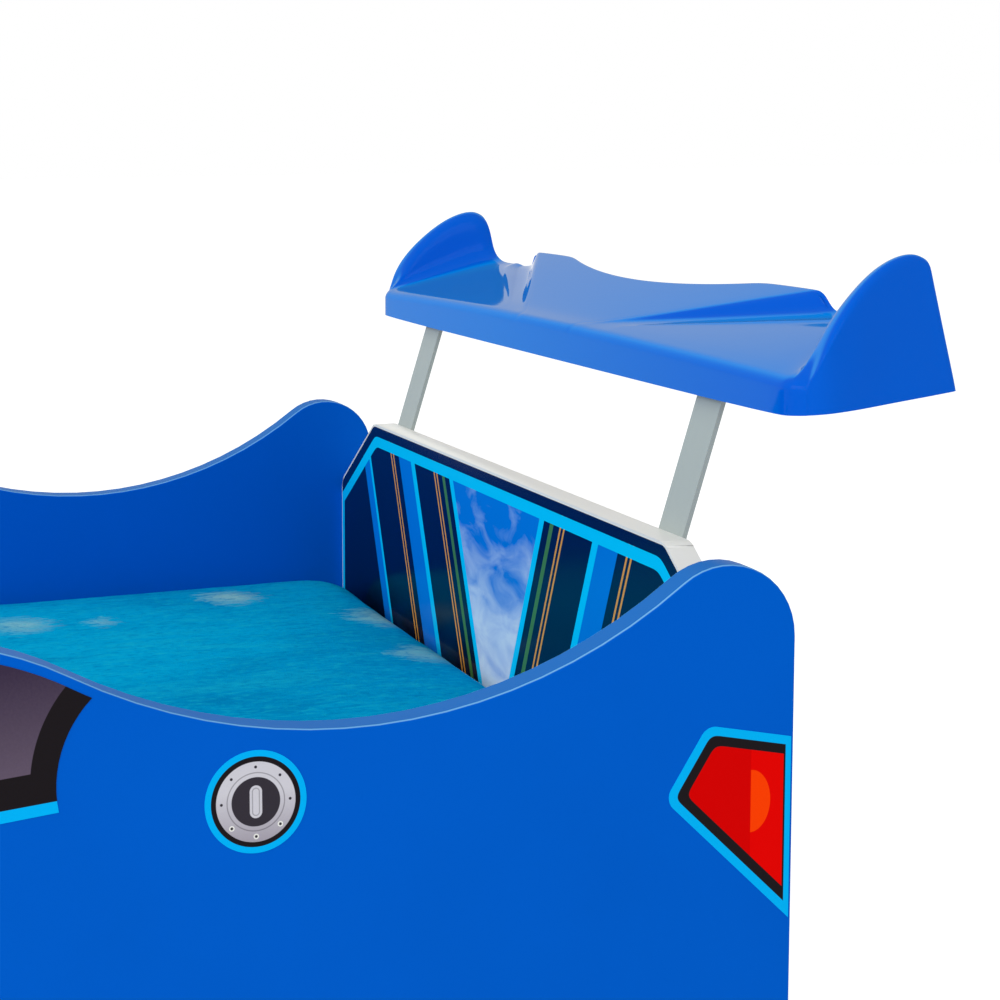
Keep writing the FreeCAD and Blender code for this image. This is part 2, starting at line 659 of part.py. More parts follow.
def fin_body(inset):
    """The left end fin: its side view crossed with its front view."""
    front = SPOILER_FRONT_S + inset
    peak = tail_point(FIN_PEAK_S, FIN_PEAK - inset)
    belly = tail_point(FIN_BELLY_S + inset * 0.7, FIN_BELLY - inset * 0.7)
    foot = tail_point(front, SPOILER_LIP)
    low = SPOILER_LIP - FIN_ROOT
    back_top = FIN_PEAK - FIN_TIP_R - inset
    tip = tail_point(back_s(back_top) - inset, back_top)
    crown = tail_point(FIN_PEAK_S + FIN_TIP_R * 0.55, FIN_PEAK - inset - FIN_TIP_R * 0.2)
    side = prism([
        Part.Arc(foot, belly, peak).toShape(),
        Part.Arc(peak, crown, tip).toShape(),
        line_edge(tip, tail_point(back_s(low) - inset, low)),
        line_edge(tail_point(back_s(low) - inset, low), tail_point(front, low)),
        line_edge(tail_point(front, low), foot),
    ], X_AXIS * BIG)
    outer_x = SPOILER_WIDTH / 2 - inset
    inner_x = SPOILER_WIDTH / 2 - FIN_THICK + inset
    foot_rise = deck_rise(SPOILER_FRONT_S)
    flare = SPOILER_DECK_BACK + FIN_FOOT_RISE
    view = [
        Vector(outer_x, 0, TAIL_BOARD_TOP_Z + low),
        Vector(outer_x, 0, TAIL_BOARD_TOP_Z + FIN_PEAK),
        Vector(inner_x, 0, TAIL_BOARD_TOP_Z + FIN_PEAK),
        Vector(inner_x, 0, TAIL_BOARD_TOP_Z + flare),
        Vector(inner_x - FIN_FOOT_RUN, 0, TAIL_BOARD_TOP_Z + foot_rise),
        Vector(inner_x - FIN_FOOT_RUN, 0, TAIL_BOARD_TOP_Z + low),
    ]
    slab = polygon_prism([p - Y_AXIS * BIG for p in view], Y_AXIS * 2 * BIG)
    top_r = FIN_TOP_R - inset
    slab = fillet_along(slab, Y_AXIS, top_r, lambda m: m.z > TAIL_BOARD_TOP_Z + FIN_PEAK - 1)
    return side.common(slab)


def corner_limit(inset):
    """The plan view of the whole spoiler, with its front corners rounded."""
    half = SPOILER_WIDTH / 2 - inset
    plan = box(-half, half, TAIL_Y + SPOILER_FRONT_S + inset, TAIL_Y + SPOILER_BACK_S + 1, 0, BIG)
    front_y = TAIL_Y + SPOILER_FRONT_S + inset
    return fillet_along(plan, Z_AXIS, SPOILER_CORNER_R - inset, lambda m: abs(m.y - front_y) < 1e-3)


def scoop(inset):
    """The round hollow in the plateau's rear edge, leaning with the rear wall."""
    radius = (SCOOP_HALF ** 2 + SCOOP_DEPTH ** 2) / (2 * SCOOP_DEPTH)
    deepest = back_s(SPOILER_PLATEAU_BACK) - SCOOP_DEPTH
    lean = Vector(0, -SPOILER_BACK_LEAN, 1)
    level_reach = radius * lean.Length
    lean.normalize()
    centre = tail_point(deepest + level_reach, SPOILER_PLATEAU_BACK)
    return cylinder(radius + inset, BIG, centre - lean * BIG / 2, lean)


def spoiler_form(inset):
    fin = fin_body(inset)
    form = wing_body(inset).fuse([plateau_body(inset), fin, mirrored(fin)]).removeSplitter()
    return form.common(corner_limit(inset)).cut(scoop(inset)).removeSplitter()


def spoiler_shell():
    return spoiler_form(0.0).cut(spoiler_form(SPOILER_WALL)).removeSplitter()


def core_under(s):
    """Height of the deck's underside above the tail board's top."""
    return deck_rise(s) - SPOILER_WALL / math.cos(DECK_ANGLE)


def spoiler_core():
    """A batten under the deck that the bars are screwed to."""
    back = CORE_FRONT_S + CORE_DEPTH
    down = CORE_T / math.cos(DECK_ANGLE)
    points = [
        tail_point(CORE_FRONT_S, core_under(CORE_FRONT_S) - down),
        tail_point(CORE_FRONT_S, core_under(CORE_FRONT_S)),
        tail_point(back, core_under(back)),
        tail_point(back, core_under(back) - down),
    ]
    core = widen(points, CORE_HALF)
    for x in (-BAR_X, BAR_X):
        for start in core_screw_starts(x):
            core = core.cut(cylinder(CORE_SCREW_R + SCREW_CLEAR, CORE_SCREW_L + SCREW_CLEAR, start, CORE_UP))
    return core


# ---- Spoiler bars -------------------------------------------------------------------------
CORE_UP = Vector(0, -math.sin(DECK_ANGLE), math.cos(DECK_ANGLE))
DECK_WAY = Vector(0, math.cos(DECK_ANGLE), math.sin(DECK_ANGLE))


def bar_front_line():
    """The bar's front face in side view: leg, leaning arm, flange under the core."""
    leg_top = tail_point(-TAIL_INSET, 0)
    lean = Vector(0, BAR_LEAN_S, BAR_LEAN_Z)
    lean.normalize()
    under = tail_point(CORE_FRONT_S, core_under(CORE_FRONT_S) - CORE_T / math.cos(DECK_ANGLE))
    # the arm meets the plane of the core's underside
    reach = (under - leg_top).dot(CORE_UP) / lean.dot(CORE_UP)
    knee = leg_top + lean * reach
    return [leg_top - Z_AXIS * BAR_LEG, leg_top, knee, knee + DECK_WAY * BAR_FLANGE]


def offset_line(points, distance):
    """The same line moved by distance to its right-hand side, seen from +X."""
    moved = []
    normals = []
    for a, b in zip(points, points[1:]):
        way = b - a
        way.normalize()
        normals.append(Vector(0, way.z, -way.y))
    for i, point in enumerate(points):
        before = normals[max(0, i - 1)]
        after = normals[min(i, len(normals) - 1)]
        moved.append(point + (before + after) * (distance / (1 + before.dot(after))))
    return moved


def spoiler_bar(x):
    """A flat bar bent twice; its bends are rounded inside and outside."""
    front = bar_front_line()
    back = offset_line(front, BAR_T)
    outline = [p + X_AXIS * (x - BAR_W / 2) for p in front + back[::-1]]
    bar = polygon_prism(outline, X_AXIS * BAR_W)
    for inside, outside in ((back[1], front[1]), (back[2], front[2])):
        for corner, radius in ((inside, BAR_BEND_R), (outside, BAR_BEND_R + BAR_T)):
            bar = fillet_along(bar, X_AXIS, radius, lambda m, c=corner: (m - c - X_AXIS * m.x).Length < 1e-3)
    for start in bar_screw_starts(x):
        bar = bar.cut(cylinder(BAR_SCREW_R + SCREW_CLEAR, 3 * BAR_T, start + Y_AXIS * BAR_T, -Y_AXIS))
    for start in core_screw_starts(x):
        bar = bar.cut(cylinder(CORE_SCREW_R + SCREW_CLEAR, 3 * BAR_T, start - CORE_UP * 2 * BAR_T, CORE_UP))
    return bar


def bar_screw_starts(x):
    """Where the leg's screw heads seat, on its back face."""
    back_y = TAIL_BACK_Y + BAR_T
    first = TAIL_BOARD_TOP_Z - BAR_SCREW_EDGE
    return [Vector(x, back_y, first - i * BAR_SCREW_PITCH) for i in range(2)]


def core_screw_starts(x):
    """Where the flange's screws enter the core."""
    knee = bar_front_line()[2]
    first = (BAR_FLANGE - CORE_SCREW_PITCH) / 2 + BAR_BEND_R
    return [knee + DECK_WAY * (first + i * CORE_SCREW_PITCH) + X_AXIS * x for i in range(2)]


def bar_screw(start):
    """A round-headed machine screw with a six-sided socket."""
    head = cylinder(BAR_SCREW_HEAD_R, BAR_SCREW_HEAD_H, start, Y_AXIS)
    rim = [e for e in head.Edges if abs(e.CenterOfMass.y - start.y - BAR_SCREW_HEAD_H) < 1e-6]
    head = head.makeFillet(BAR_SCREW_HEAD_H * 0.8, rim)
    shank = cylinder(BAR_SCREW_R, BAR_SCREW_L, start, -Y_AXIS)
    socket_r = BAR_SCREW_R * 0.65
    face = start + Y_AXIS * BAR_SCREW_HEAD_H
    corners = [face + X_AXIS * (socket_r * math.cos(a)) + Z_AXIS * (socket_r * math.sin(a))
               for a in (math.radians(60 * i) for i in range(6))]
    socket = polygon_prism(corners, -Y_AXIS * BAR_SCREW_HEAD_H * 0.6)
    return head.fuse(shank).removeSplitter().cut(socket)


def insert_nut(start):
    """A threaded sleeve in the tail board's back."""
    mouth = Vector(start.x, TAIL_BACK_Y, start.z)
    sleeve = cylinder(INSERT_R, INSERT_L, mouth, -Y_AXIS)
    return sleeve.cut(cylinder(BAR_SCREW_R + SCREW_CLEAR, INSERT_L, mouth, -Y_AXIS))


# ---- Printed films --------------------------------------------------------------------------
def film(points):
    """A thin print on the left panel's outer face."""
    return polygon_prism([p + X_AXIS * OUTER_X for p in points], X_AXIS * FILM_T)


def window_print():
    """The side window: it follows the roof a little below the panel's edge."""
    under_roof = prism(panel_outline(), X_AXIS * FILM_T)
    under_roof.translate(X_AXIS * OUTER_X - Z_AXIS * WINDOW_DROP)
    back_high = side_point(WINDOW_BACK_U, CREST_Z)
    back = side_point(WINDOW_BACK_U, WINDOW_BACK_Z)
    bulge = side_point(WINDOW_BULGE_U, WINDOW_BULGE_Z)
    back_low = side_point(WINDOW_BACK_LOW_U, WINDOW_BACK_LOW_Z)
    front_low = side_point(PANEL_LENGTH - WINDOW_FRONT_LOW_SETBACK, WINDOW_FRONT_LOW_Z)
    front = side_point(PANEL_LENGTH - WINDOW_FRONT_SETBACK, HOOD_Z)
    front_high = side_point(PANEL_LENGTH - WINDOW_FRONT_SETBACK, CREST_Z)
    area = prism([
        line_edge(back_high, back),
        Part.Arc(back, bulge, back_low).toShape(),
        line_edge(back_low, front_low),
        line_edge(front_low, front),
        line_edge(front, front_high),
        line_edge(front_high, back_high),
    ], X_AXIS * FILM_T)
    area.translate(X_AXIS * OUTER_X)
    return under_roof.common(area)


def fuel_cap_print():
    return cylinder(FUEL_CAP_R, FILM_T, side_point(FUEL_CAP_U, FUEL_CAP_Z) + X_AXIS * OUTER_X, X_AXIS)


def tail_light_print():
    """A rear lamp with its point forwards and its flat side at the tail edge."""
    light = film([
        side_point(TAIL_LIGHT_EDGE_U, TAIL_LIGHT_TOP_Z - TAIL_LIGHT_FALL),
        side_point(TAIL_LIGHT_INNER_U, TAIL_LIGHT_TOP_Z),
        side_point(TAIL_LIGHT_DEPTH_U, TAIL_LIGHT_POINT_Z),
        side_point(TAIL_LIGHT_EDGE_U, TAIL_LIGHT_LOW_Z),
    ])
    return fillet_along(light, X_AXIS, TAIL_LIGHT_R, lambda m: m.y < TAIL_Y - TAIL_LIGHT_INNER_U / 2)


def headlight_print():
    """A front lamp, drawn out towards the back."""
    front_u = PANEL_LENGTH - HEADLIGHT_SETBACK
    middle_u = front_u - 2 * HEADLIGHT_R
    light = film([
        side_point(front_u, HEADLIGHT_Z + HEADLIGHT_R / 2),
        side_point(front_u, HEADLIGHT_Z - HEADLIGHT_R),
        side_point(middle_u, HEADLIGHT_Z - HEADLIGHT_R),
        side_point(front_u - HEADLIGHT_L, HEADLIGHT_Z + HEADLIGHT_R / 2),
        side_point(middle_u, HEADLIGHT_Z + HEADLIGHT_R),
    ])
    return fillet_along(light, X_AXIS, HEADLIGHT_R / 4, lambda m: True)


def tail_board_print():
    """The picture over the tail board's inner face, a margin inside its edge."""
    inner_face = min(tail_board_blank().Faces, key=lambda face: face.CenterOfMass.y)
    return inner_face.makeOffset2D(-FILM_MARGIN).extrude(-Y_AXIS * FILM_T)


def nose_print():
    """The grille picture on the nose board's outer face."""
    middle = (NOSE_BOARD_TOP_Z + NOSE_BOARD_LOW_Z) / 2
    sheet = box(-NOSE_PRINT_W / 2, NOSE_PRINT_W / 2, NOSE_FRONT_Y - FILM_T, NOSE_FRONT_Y,
                middle - NOSE_PRINT_H / 2, middle + NOSE_PRINT_H / 2)
    return fillet_along(sheet, Y_AXIS, NOSE_PRINT_R, lambda m: True)


# ---- The finished pieces ----------------------------------------------------------------------
def finished_panel():
    """The left panel with every hole that its fittings need."""
    cuts = joint_cutters()
    for y in rail_screw_places():
        start = Vector(INNER_X - RAIL_T, y, RAIL_SCREW_Z)
        cuts.append(cylinder(RAIL_SCREW_R + SCREW_CLEAR, RAIL_SCREW_L + SCREW_CLEAR, start, X_AXIS))
    for _name, wheel_u in WHEELS:
        for start in wheel_screw_starts(wheel_u):
            cuts.append(cylinder(WHEEL_SCREW_R + SCREW_CLEAR, WHEEL_SCREW_L + SCREW_CLEAR, start, X_AXIS))
    for place in glide_places():
        cuts.append(cylinder(GLIDE_PIN_R + SCREW_CLEAR, GLIDE_PIN_L + SCREW_CLEAR, place, Z_AXIS))
    return panel_blank().cut(cuts)


def finished_end_board(blank):
    cuts = joint_cutters()
    return blank.cut(cuts + [mirrored(c) for c in cuts])


def make_structure():
    panel = finished_panel()
    rail = rail_blank()
    for name, sign in SIDES:
        export("side_panel_" + name, on_side(panel, sign))
        export("slat_rail_" + name, on_side(rail, sign))
    tail_board = finished_end_board(tail_board_blank())
    for x in (-BAR_X, BAR_X):
        for start in bar_screw_starts(x):
            mouth = Vector(start.x, TAIL_BACK_Y, start.z)
            tail_board = tail_board.cut(cylinder(INSERT_R, BAR_SCREW_L, mouth, -Y_AXIS))
    export("tail_board", tail_board)
    export("nose_board", finished_end_board(nose_board_blank()))
    export("bed_slats", *[slat(y) for y in slat_places()])


def make_fittings():
    cams, bolts, caps, dowels = [], [], [], []
    for face_y, out, board_t, cam_heights, dowel_heights in END_JOINTS:
        for z in cam_heights:
            cams.append(cam_lock(face_y, out, board_t, z))
            bolts.append(cam_bolt(face_y, out, board_t, z))
            caps.append(cam_cap(face_y, out, z))
        dowels += [dowel(face_y, out, board_t, z) for z in dowel_heights]
    rail_screws = [countersunk_screw(Vector(RAIL_SCREW_TIP_X, y, RAIL_SCREW_Z), X_AXIS, RAIL_SCREW_R, RAIL_SCREW_L)
                   for y in rail_screw_places()]
    slat_tip_z = SLAT_TOP_Z - SLAT_SCREW_L
    slat_screws = [countersunk_screw(Vector(SLAT_SCREW_X, y, slat_tip_z), -Z_AXIS, SLAT_SCREW_R, SLAT_SCREW_L)
                   for y in slat_places()]
    groups = (("cam_locks", cams), ("cam_bolts", bolts), ("cam_caps", caps), ("wood_dowels", dowels),
              ("rail_screws", rail_screws), ("slat_screws", slat_screws))
    for name, pieces in groups:
        export(name, *(pieces + [mirrored(p) for p in pieces]))


def make_wheels():
    screws = []
    prints = []
    for end, wheel_u in WHEELS:
        disc = wheel_disc(wheel_u)
        for start in wheel_screw_starts(wheel_u):
            disc = disc.cut(cylinder(WHEEL_SCREW_R + SCREW_CLEAR, WHEEL_SCREW_L + SCREW_CLEAR, start, X_AXIS))
            screws.append(pan_screw(start, X_AXIS, WHEEL_SCREW_R, WHEEL_SCREW_L, PAN_HEAD_H))
        prints.append(wheel_print(wheel_u))
        for name, sign in SIDES:
            export("wheel_disc_%s_%s" % (end, name), on_side(disc, sign))
    glides = [glide(place) for place in glide_places()]
    export("wheel_prints", *(prints + [mirrored(p) for p in prints]))
    export("wheel_screws", *(screws + [mirrored(s) for s in screws]))
    export("floor_glides", *(glides + [mirrored(g) for g in glides]))


def make_spoiler():
    export("spoiler_shell", spoiler_shell())
    export("spoiler_core", spoiler_core())
    screws, inserts, core_screws = [], [], []
    for name, sign in SIDES:
        x = sign * BAR_X
        export("spoiler_bar_" + name, spoiler_bar(x))
        for start in bar_screw_starts(x):
            screws.append(bar_screw(start))
            inserts.append(insert_nut(start))
        for start in core_screw_starts(x):
            seat = start - CORE_UP * BAR_T
            core_screws.append(pan_screw(seat, CORE_UP, CORE_SCREW_R, CORE_SCREW_L, PAN_HEAD_H))
    export("bar_screws", *screws)
    export("bar_insert_nuts", *inserts)
    export("core_screws", *core_screws)


def make_bedding():
    export("mattress", mattress())
    export("fitted_sheet", fitted_sheet())


def make_prints():
    pieces = (("window_print", window_print()), ("fuel_cap_print", fuel_cap_print()),
              ("tail_light_print", tail_light_print()), ("headlight_print", headlight_print()))
    for name, piece in pieces:
        for side, sign in SIDES:
            export("%s_%s" % (name, side), on_side(piece, sign))
    export("tail_board_print", tail_board_print())
    export("nose_print", nose_print())


def main():
    os.makedirs("parts", exist_ok=True)
    make_structure()
    make_fittings()
    make_wheels()
    make_spoiler()
    make_bedding()
    make_prints()


main()
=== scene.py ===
"""Looks of a child's car bed: printed blue side panels, white end boards, a turquoise
fitted sheet over a mattress on slats, and a glossy blue spoiler on two flat bars."""

from __future__ import annotations

import json
import logging
import math
from dataclasses import dataclass
from enum import Enum
from typing import Callable

import bmesh
import bpy
from mathutils import Matrix, Vector

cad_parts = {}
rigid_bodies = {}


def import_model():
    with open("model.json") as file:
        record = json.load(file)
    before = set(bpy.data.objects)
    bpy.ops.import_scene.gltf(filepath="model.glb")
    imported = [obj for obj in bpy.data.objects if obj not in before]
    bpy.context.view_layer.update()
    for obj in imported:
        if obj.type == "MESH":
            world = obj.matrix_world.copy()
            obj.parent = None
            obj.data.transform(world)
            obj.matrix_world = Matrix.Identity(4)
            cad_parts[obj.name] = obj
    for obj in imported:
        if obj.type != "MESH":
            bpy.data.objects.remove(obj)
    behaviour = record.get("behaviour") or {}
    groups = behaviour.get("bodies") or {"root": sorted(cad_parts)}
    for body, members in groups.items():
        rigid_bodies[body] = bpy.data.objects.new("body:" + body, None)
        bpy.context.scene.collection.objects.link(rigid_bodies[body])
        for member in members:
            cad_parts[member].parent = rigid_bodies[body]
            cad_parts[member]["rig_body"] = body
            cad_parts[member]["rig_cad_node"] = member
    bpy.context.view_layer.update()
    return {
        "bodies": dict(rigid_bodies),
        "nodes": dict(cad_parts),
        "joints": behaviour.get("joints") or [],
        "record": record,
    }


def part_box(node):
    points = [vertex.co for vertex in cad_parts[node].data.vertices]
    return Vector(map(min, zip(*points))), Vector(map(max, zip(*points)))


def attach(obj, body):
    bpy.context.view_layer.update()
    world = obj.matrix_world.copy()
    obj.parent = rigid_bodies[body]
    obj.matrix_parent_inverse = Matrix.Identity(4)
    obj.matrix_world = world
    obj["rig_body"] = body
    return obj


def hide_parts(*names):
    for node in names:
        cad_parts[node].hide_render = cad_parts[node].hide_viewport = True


LOG = logging.getLogger("car_bed")
MM = 0.001
WATERTIGHT = 1e-5
SCREEN_WHITE = 255.0
WHITE = (1.0, 1.0, 1.0, 1.0)

Colour = tuple[float, float, float, float]


class Tone(Enum):
    """The object's colours, as screen values from 0 to 255."""

    PANEL_BLUE = (0, 93, 203)
    EDGE_BAND = (6, 106, 190)
    # A painted highlight: the pale line along the corners of the side panels' edge band.
    TRIM = (140, 200, 238)
    BOARD_WHITE = (235, 236, 230)
    SPOILER_BLUE = (0, 90, 206)
    # Painted reflection on the glossy spoiler: the brighter and the paler blue that it turns
    # towards grazing angles.
    SHINE_BLUE = (0, 126, 220)
    SHINE_LOW = (34, 114, 192)
    BAR_GREY = (160, 171, 169)
    CYAN = (0, 178, 246)
    CYAN_BRIGHT = (0, 204, 255)
    NEAR_BLACK = (29, 25, 28)
    GLASS_HIGH = (58, 47, 68)
    GLASS_LOW = (98, 85, 103)
    CAP_LIGHT = (205, 204, 212)
    CAP_SHADE = (158, 152, 164)
    CAP_DARK = (54, 50, 58)
    LAMP_RED = (214, 0, 0)
    LAMP_BRIGHT = (230, 2, 0)
    LAMP_ORANGE = (255, 64, 0)
    NAVY = (0, 24, 62)
    NAVY_DEEP = (0, 14, 44)
    SKY = (0, 122, 220)
    SKY_PALE = (206, 228, 248)
    LEAF = (64, 124, 62)
    AMBER = (226, 158, 62)
    SHEET = (0, 161, 211)
    SHEET_DEEP = (0, 122, 178)
    SHEET_PALE = (24, 180, 206)
    SHEET_WORN = (150, 200, 198)
    PINE = (214, 178, 128)
    PINE_DARK = (176, 128, 78)
    TICKING = (236, 234, 226)
    STEEL = (196, 198, 200)
    ZINC = (150, 152, 156)
    PLASTIC_GREY = (148, 152, 158)
    TYRE = (24, 24, 27)
    RIM = (186, 190, 198)
    LAMP_GLASS = (214, 232, 244)

    def linear(self) -> Colour:
        """The tone as linear red, green, blue and alpha.

        Returns:
            The colour as shaders take it.
        """
        channels = (value / SCREEN_WHITE for value in self.value)
        red, green, blue = (c / 12.92 if c <= 0.04045 else ((c + 0.055) / 1.055) ** 2.4
                            for c in channels)
        return (red, green, blue, 1.0)


class Side(Enum):
    """Which side of the car a piece is on, with the word that its name ends with."""

    LEFT = "left"
    RIGHT = "right"


# ---- Values that change over a surface ------------------------------------------------


class Field:
    """A value that changes over a surface, held in a shader socket."""

    def __init__(self, tree: bpy.types.NodeTree, socket: bpy.types.NodeSocket) -> None:
        """Wraps a socket of a node tree."""
        self.tree = tree
        self.socket = socket

    def _math(self, operation: str, *others: "Field | float") -> "Field":
        """Feeds this value and others through a Math node.

        Args:
            operation: the Math node's operation.
            others: the second and third inputs.
        Returns:
            The result as a new value.
        """
        node = self.tree.nodes.new("ShaderNodeMath")
        node.operation = operation
        self.tree.links.new(self.socket, node.inputs[0])
        for slot, other in enumerate(others, start=1):
            if isinstance(other, Field):
                self.tree.links.new(other.socket, node.inputs[slot])
            else:
                node.inputs[slot].default_value = other
        return Field(self.tree, node.outputs[0])

    def __add__(self, other: "Field | float") -> "Field":
        """The sum."""
        return self._math("ADD", other)

    def __sub__(self, other: "Field | float") -> "Field":
        """The difference."""
        return self._math("SUBTRACT", other)

    def __mul__(self, other: "Field | float") -> "Field":
        """The product."""
        return self._math("MULTIPLY", other)

    def __truediv__(self, other: "Field | float") -> "Field":
        """The quotient."""
        return self._math("DIVIDE", other)

    __radd__ = __add__
    __rmul__ = __mul__

    def __rsub__(self, other: float) -> "Field":
        """A number less this value."""
        return (self * -1.0) + other

    def least(self, other: "Field | float") -> "Field":
        """The smaller of two values, which also joins two masks."""
        return self._math("MINIMUM", other)

    def most(self, other: "Field | float") -> "Field":
        """The larger of two values."""
        return self._math("MAXIMUM", other)

    def round_least(self, other: "Field", blend: float) -> "Field":
        """The smaller of two values, with the meeting rounded over a width."""
        return self._math("SMOOTH_MIN", other, blend)

    def size(self) -> "Field":
        """The value without its sign."""
        return self._math("ABSOLUTE")

    def sine(self) -> "Field":
        """The sine of the value in radians."""
        return self._math("SINE")

    def wrap(self, high: float, low: float = 0.0) -> "Field":
        """The value repeated between two bounds."""
        return self._math("WRAP", high, low)

    def angle(self, other: "Field") -> "Field":
        """The angle of the point (other, self)."""
        return self._math("ARCTAN2", other)

    def reach(self, other: "Field") -> "Field":
        """The distance of the point (self, other) from the origin."""
        return (self * self + other * other)._math("SQRT")

    def ramp(self, start: float, end: float) -> "Field":
        """0 at start and 1 at end, straight between and level outside.

        Args:
            start: the value that gives 0.
            end: the value that gives 1.
        Returns:
            The share of the way, from 0 to 1.
        """
        node = self.tree.nodes.new("ShaderNodeMapRange")
        node.clamp = True
        self.tree.links.new(self.socket, node.inputs["Value"])
        node.inputs["From Min"].default_value = start
        node.inputs["From Max"].default_value = end
        return Field(self.tree, node.outputs["Result"])

    def above(self, edge: float, soft: float = 0.3) -> "Field":
        """A mask that is 1 where the value is over an edge."""
        return self.ramp(edge - soft / 2, edge + soft / 2)

    def below(self, edge: float, soft: float = 0.3) -> "Field":
        """A mask that is 1 where the value is under an edge."""
        return self.ramp(edge + soft / 2, edge - soft / 2)

    def between(self, low: float, high: float, soft: float = 0.3) -> "Field":
        """A mask that is 1 between two edges."""
        return self.above(low, soft).least(self.below(high, soft))


class Paint:
    """A colour that changes over a surface, built up in layers."""

    def __init__(self, tree: bpy.types.NodeTree, base: Tone) -> None:
        """Starts with one tone all over.

        Args:
            tree: the node tree to paint in.
            base: the tone under every layer.
        """
        self.tree = tree
        self.socket: bpy.types.NodeSocket | None = None
        self.base = base

    def lay(self, tone: "Tone | bpy.types.NodeSocket", mask: Field) -> "Paint":
        """Lays a tone over what is there, where the mask says.

        Args:
            tone: a tone, or a socket that gives a colour.
            mask: 1 where the tone shows fully.
        Returns:
            This paint, for the next layer.
        """
        node = self.tree.nodes.new("ShaderNodeMix")
        node.data_type = "RGBA"
        self.tree.links.new(mask.socket, node.inputs["Factor"])
        under, over = node.inputs[6], node.inputs[7]
        if self.socket is None:
            under.default_value = self.base.linear()
        else:
            self.tree.links.new(self.socket, under)
        if isinstance(tone, Tone):
            over.default_value = tone.linear()
        else:
            self.tree.links.new(tone, over)
        self.socket = node.outputs[2]
        return self

    def blend(self, tone: Tone, mask: Field, amount: float) -> "Paint":
        """Lays a tone thinly, at most by the amount."""
        return self.lay(tone, mask * amount)


class Ground:
    """The places on a surface that a pattern is drawn by, in millimetres."""

    def __init__(self, tree: bpy.types.NodeTree) -> None:
        """Reads a piece's own Object coordinates.

        Args:
            tree: the node tree to read them in.
        """
        self.tree = tree
        self.coordinates = tree.nodes.new("ShaderNodeTexCoord")
        split = tree.nodes.new("ShaderNodeSeparateXYZ")
        tree.links.new(self.coordinates.outputs["Object"], split.inputs[0])
        self.x, self.y, self.z = (Field(tree, split.outputs[axis]) * (1.0 / MM) for axis in "XYZ")

    def noise(self, scale: float, detail: float = 3.0, stretch: Vector | None = None,
              distortion: float = 0.0) -> Field:
        """Soft random patches.

        Args:
            scale: patches to the metre.
            detail: how many finer layers are added.
            stretch: how much closer the patches are along each axis.
            distortion: how far the patches swirl.
        Returns:
            A value about 0.5.
        """
        mapping = self.tree.nodes.new("ShaderNodeMapping")
        mapping.inputs["Scale"].default_value = stretch or Vector((1.0, 1.0, 1.0))
        self.tree.links.new(self.coordinates.outputs["Object"], mapping.inputs["Vector"])
        node = self.tree.nodes.new("ShaderNodeTexNoise")
        node.inputs["Scale"].default_value = scale
        node.inputs["Detail"].default_value = detail
        node.inputs["Distortion"].default_value = distortion
        self.tree.links.new(mapping.outputs[0], node.inputs["Vector"])
        return Field(self.tree, node.outputs["Fac"])


# ---- Shared effects -------------------------------------------------------------------


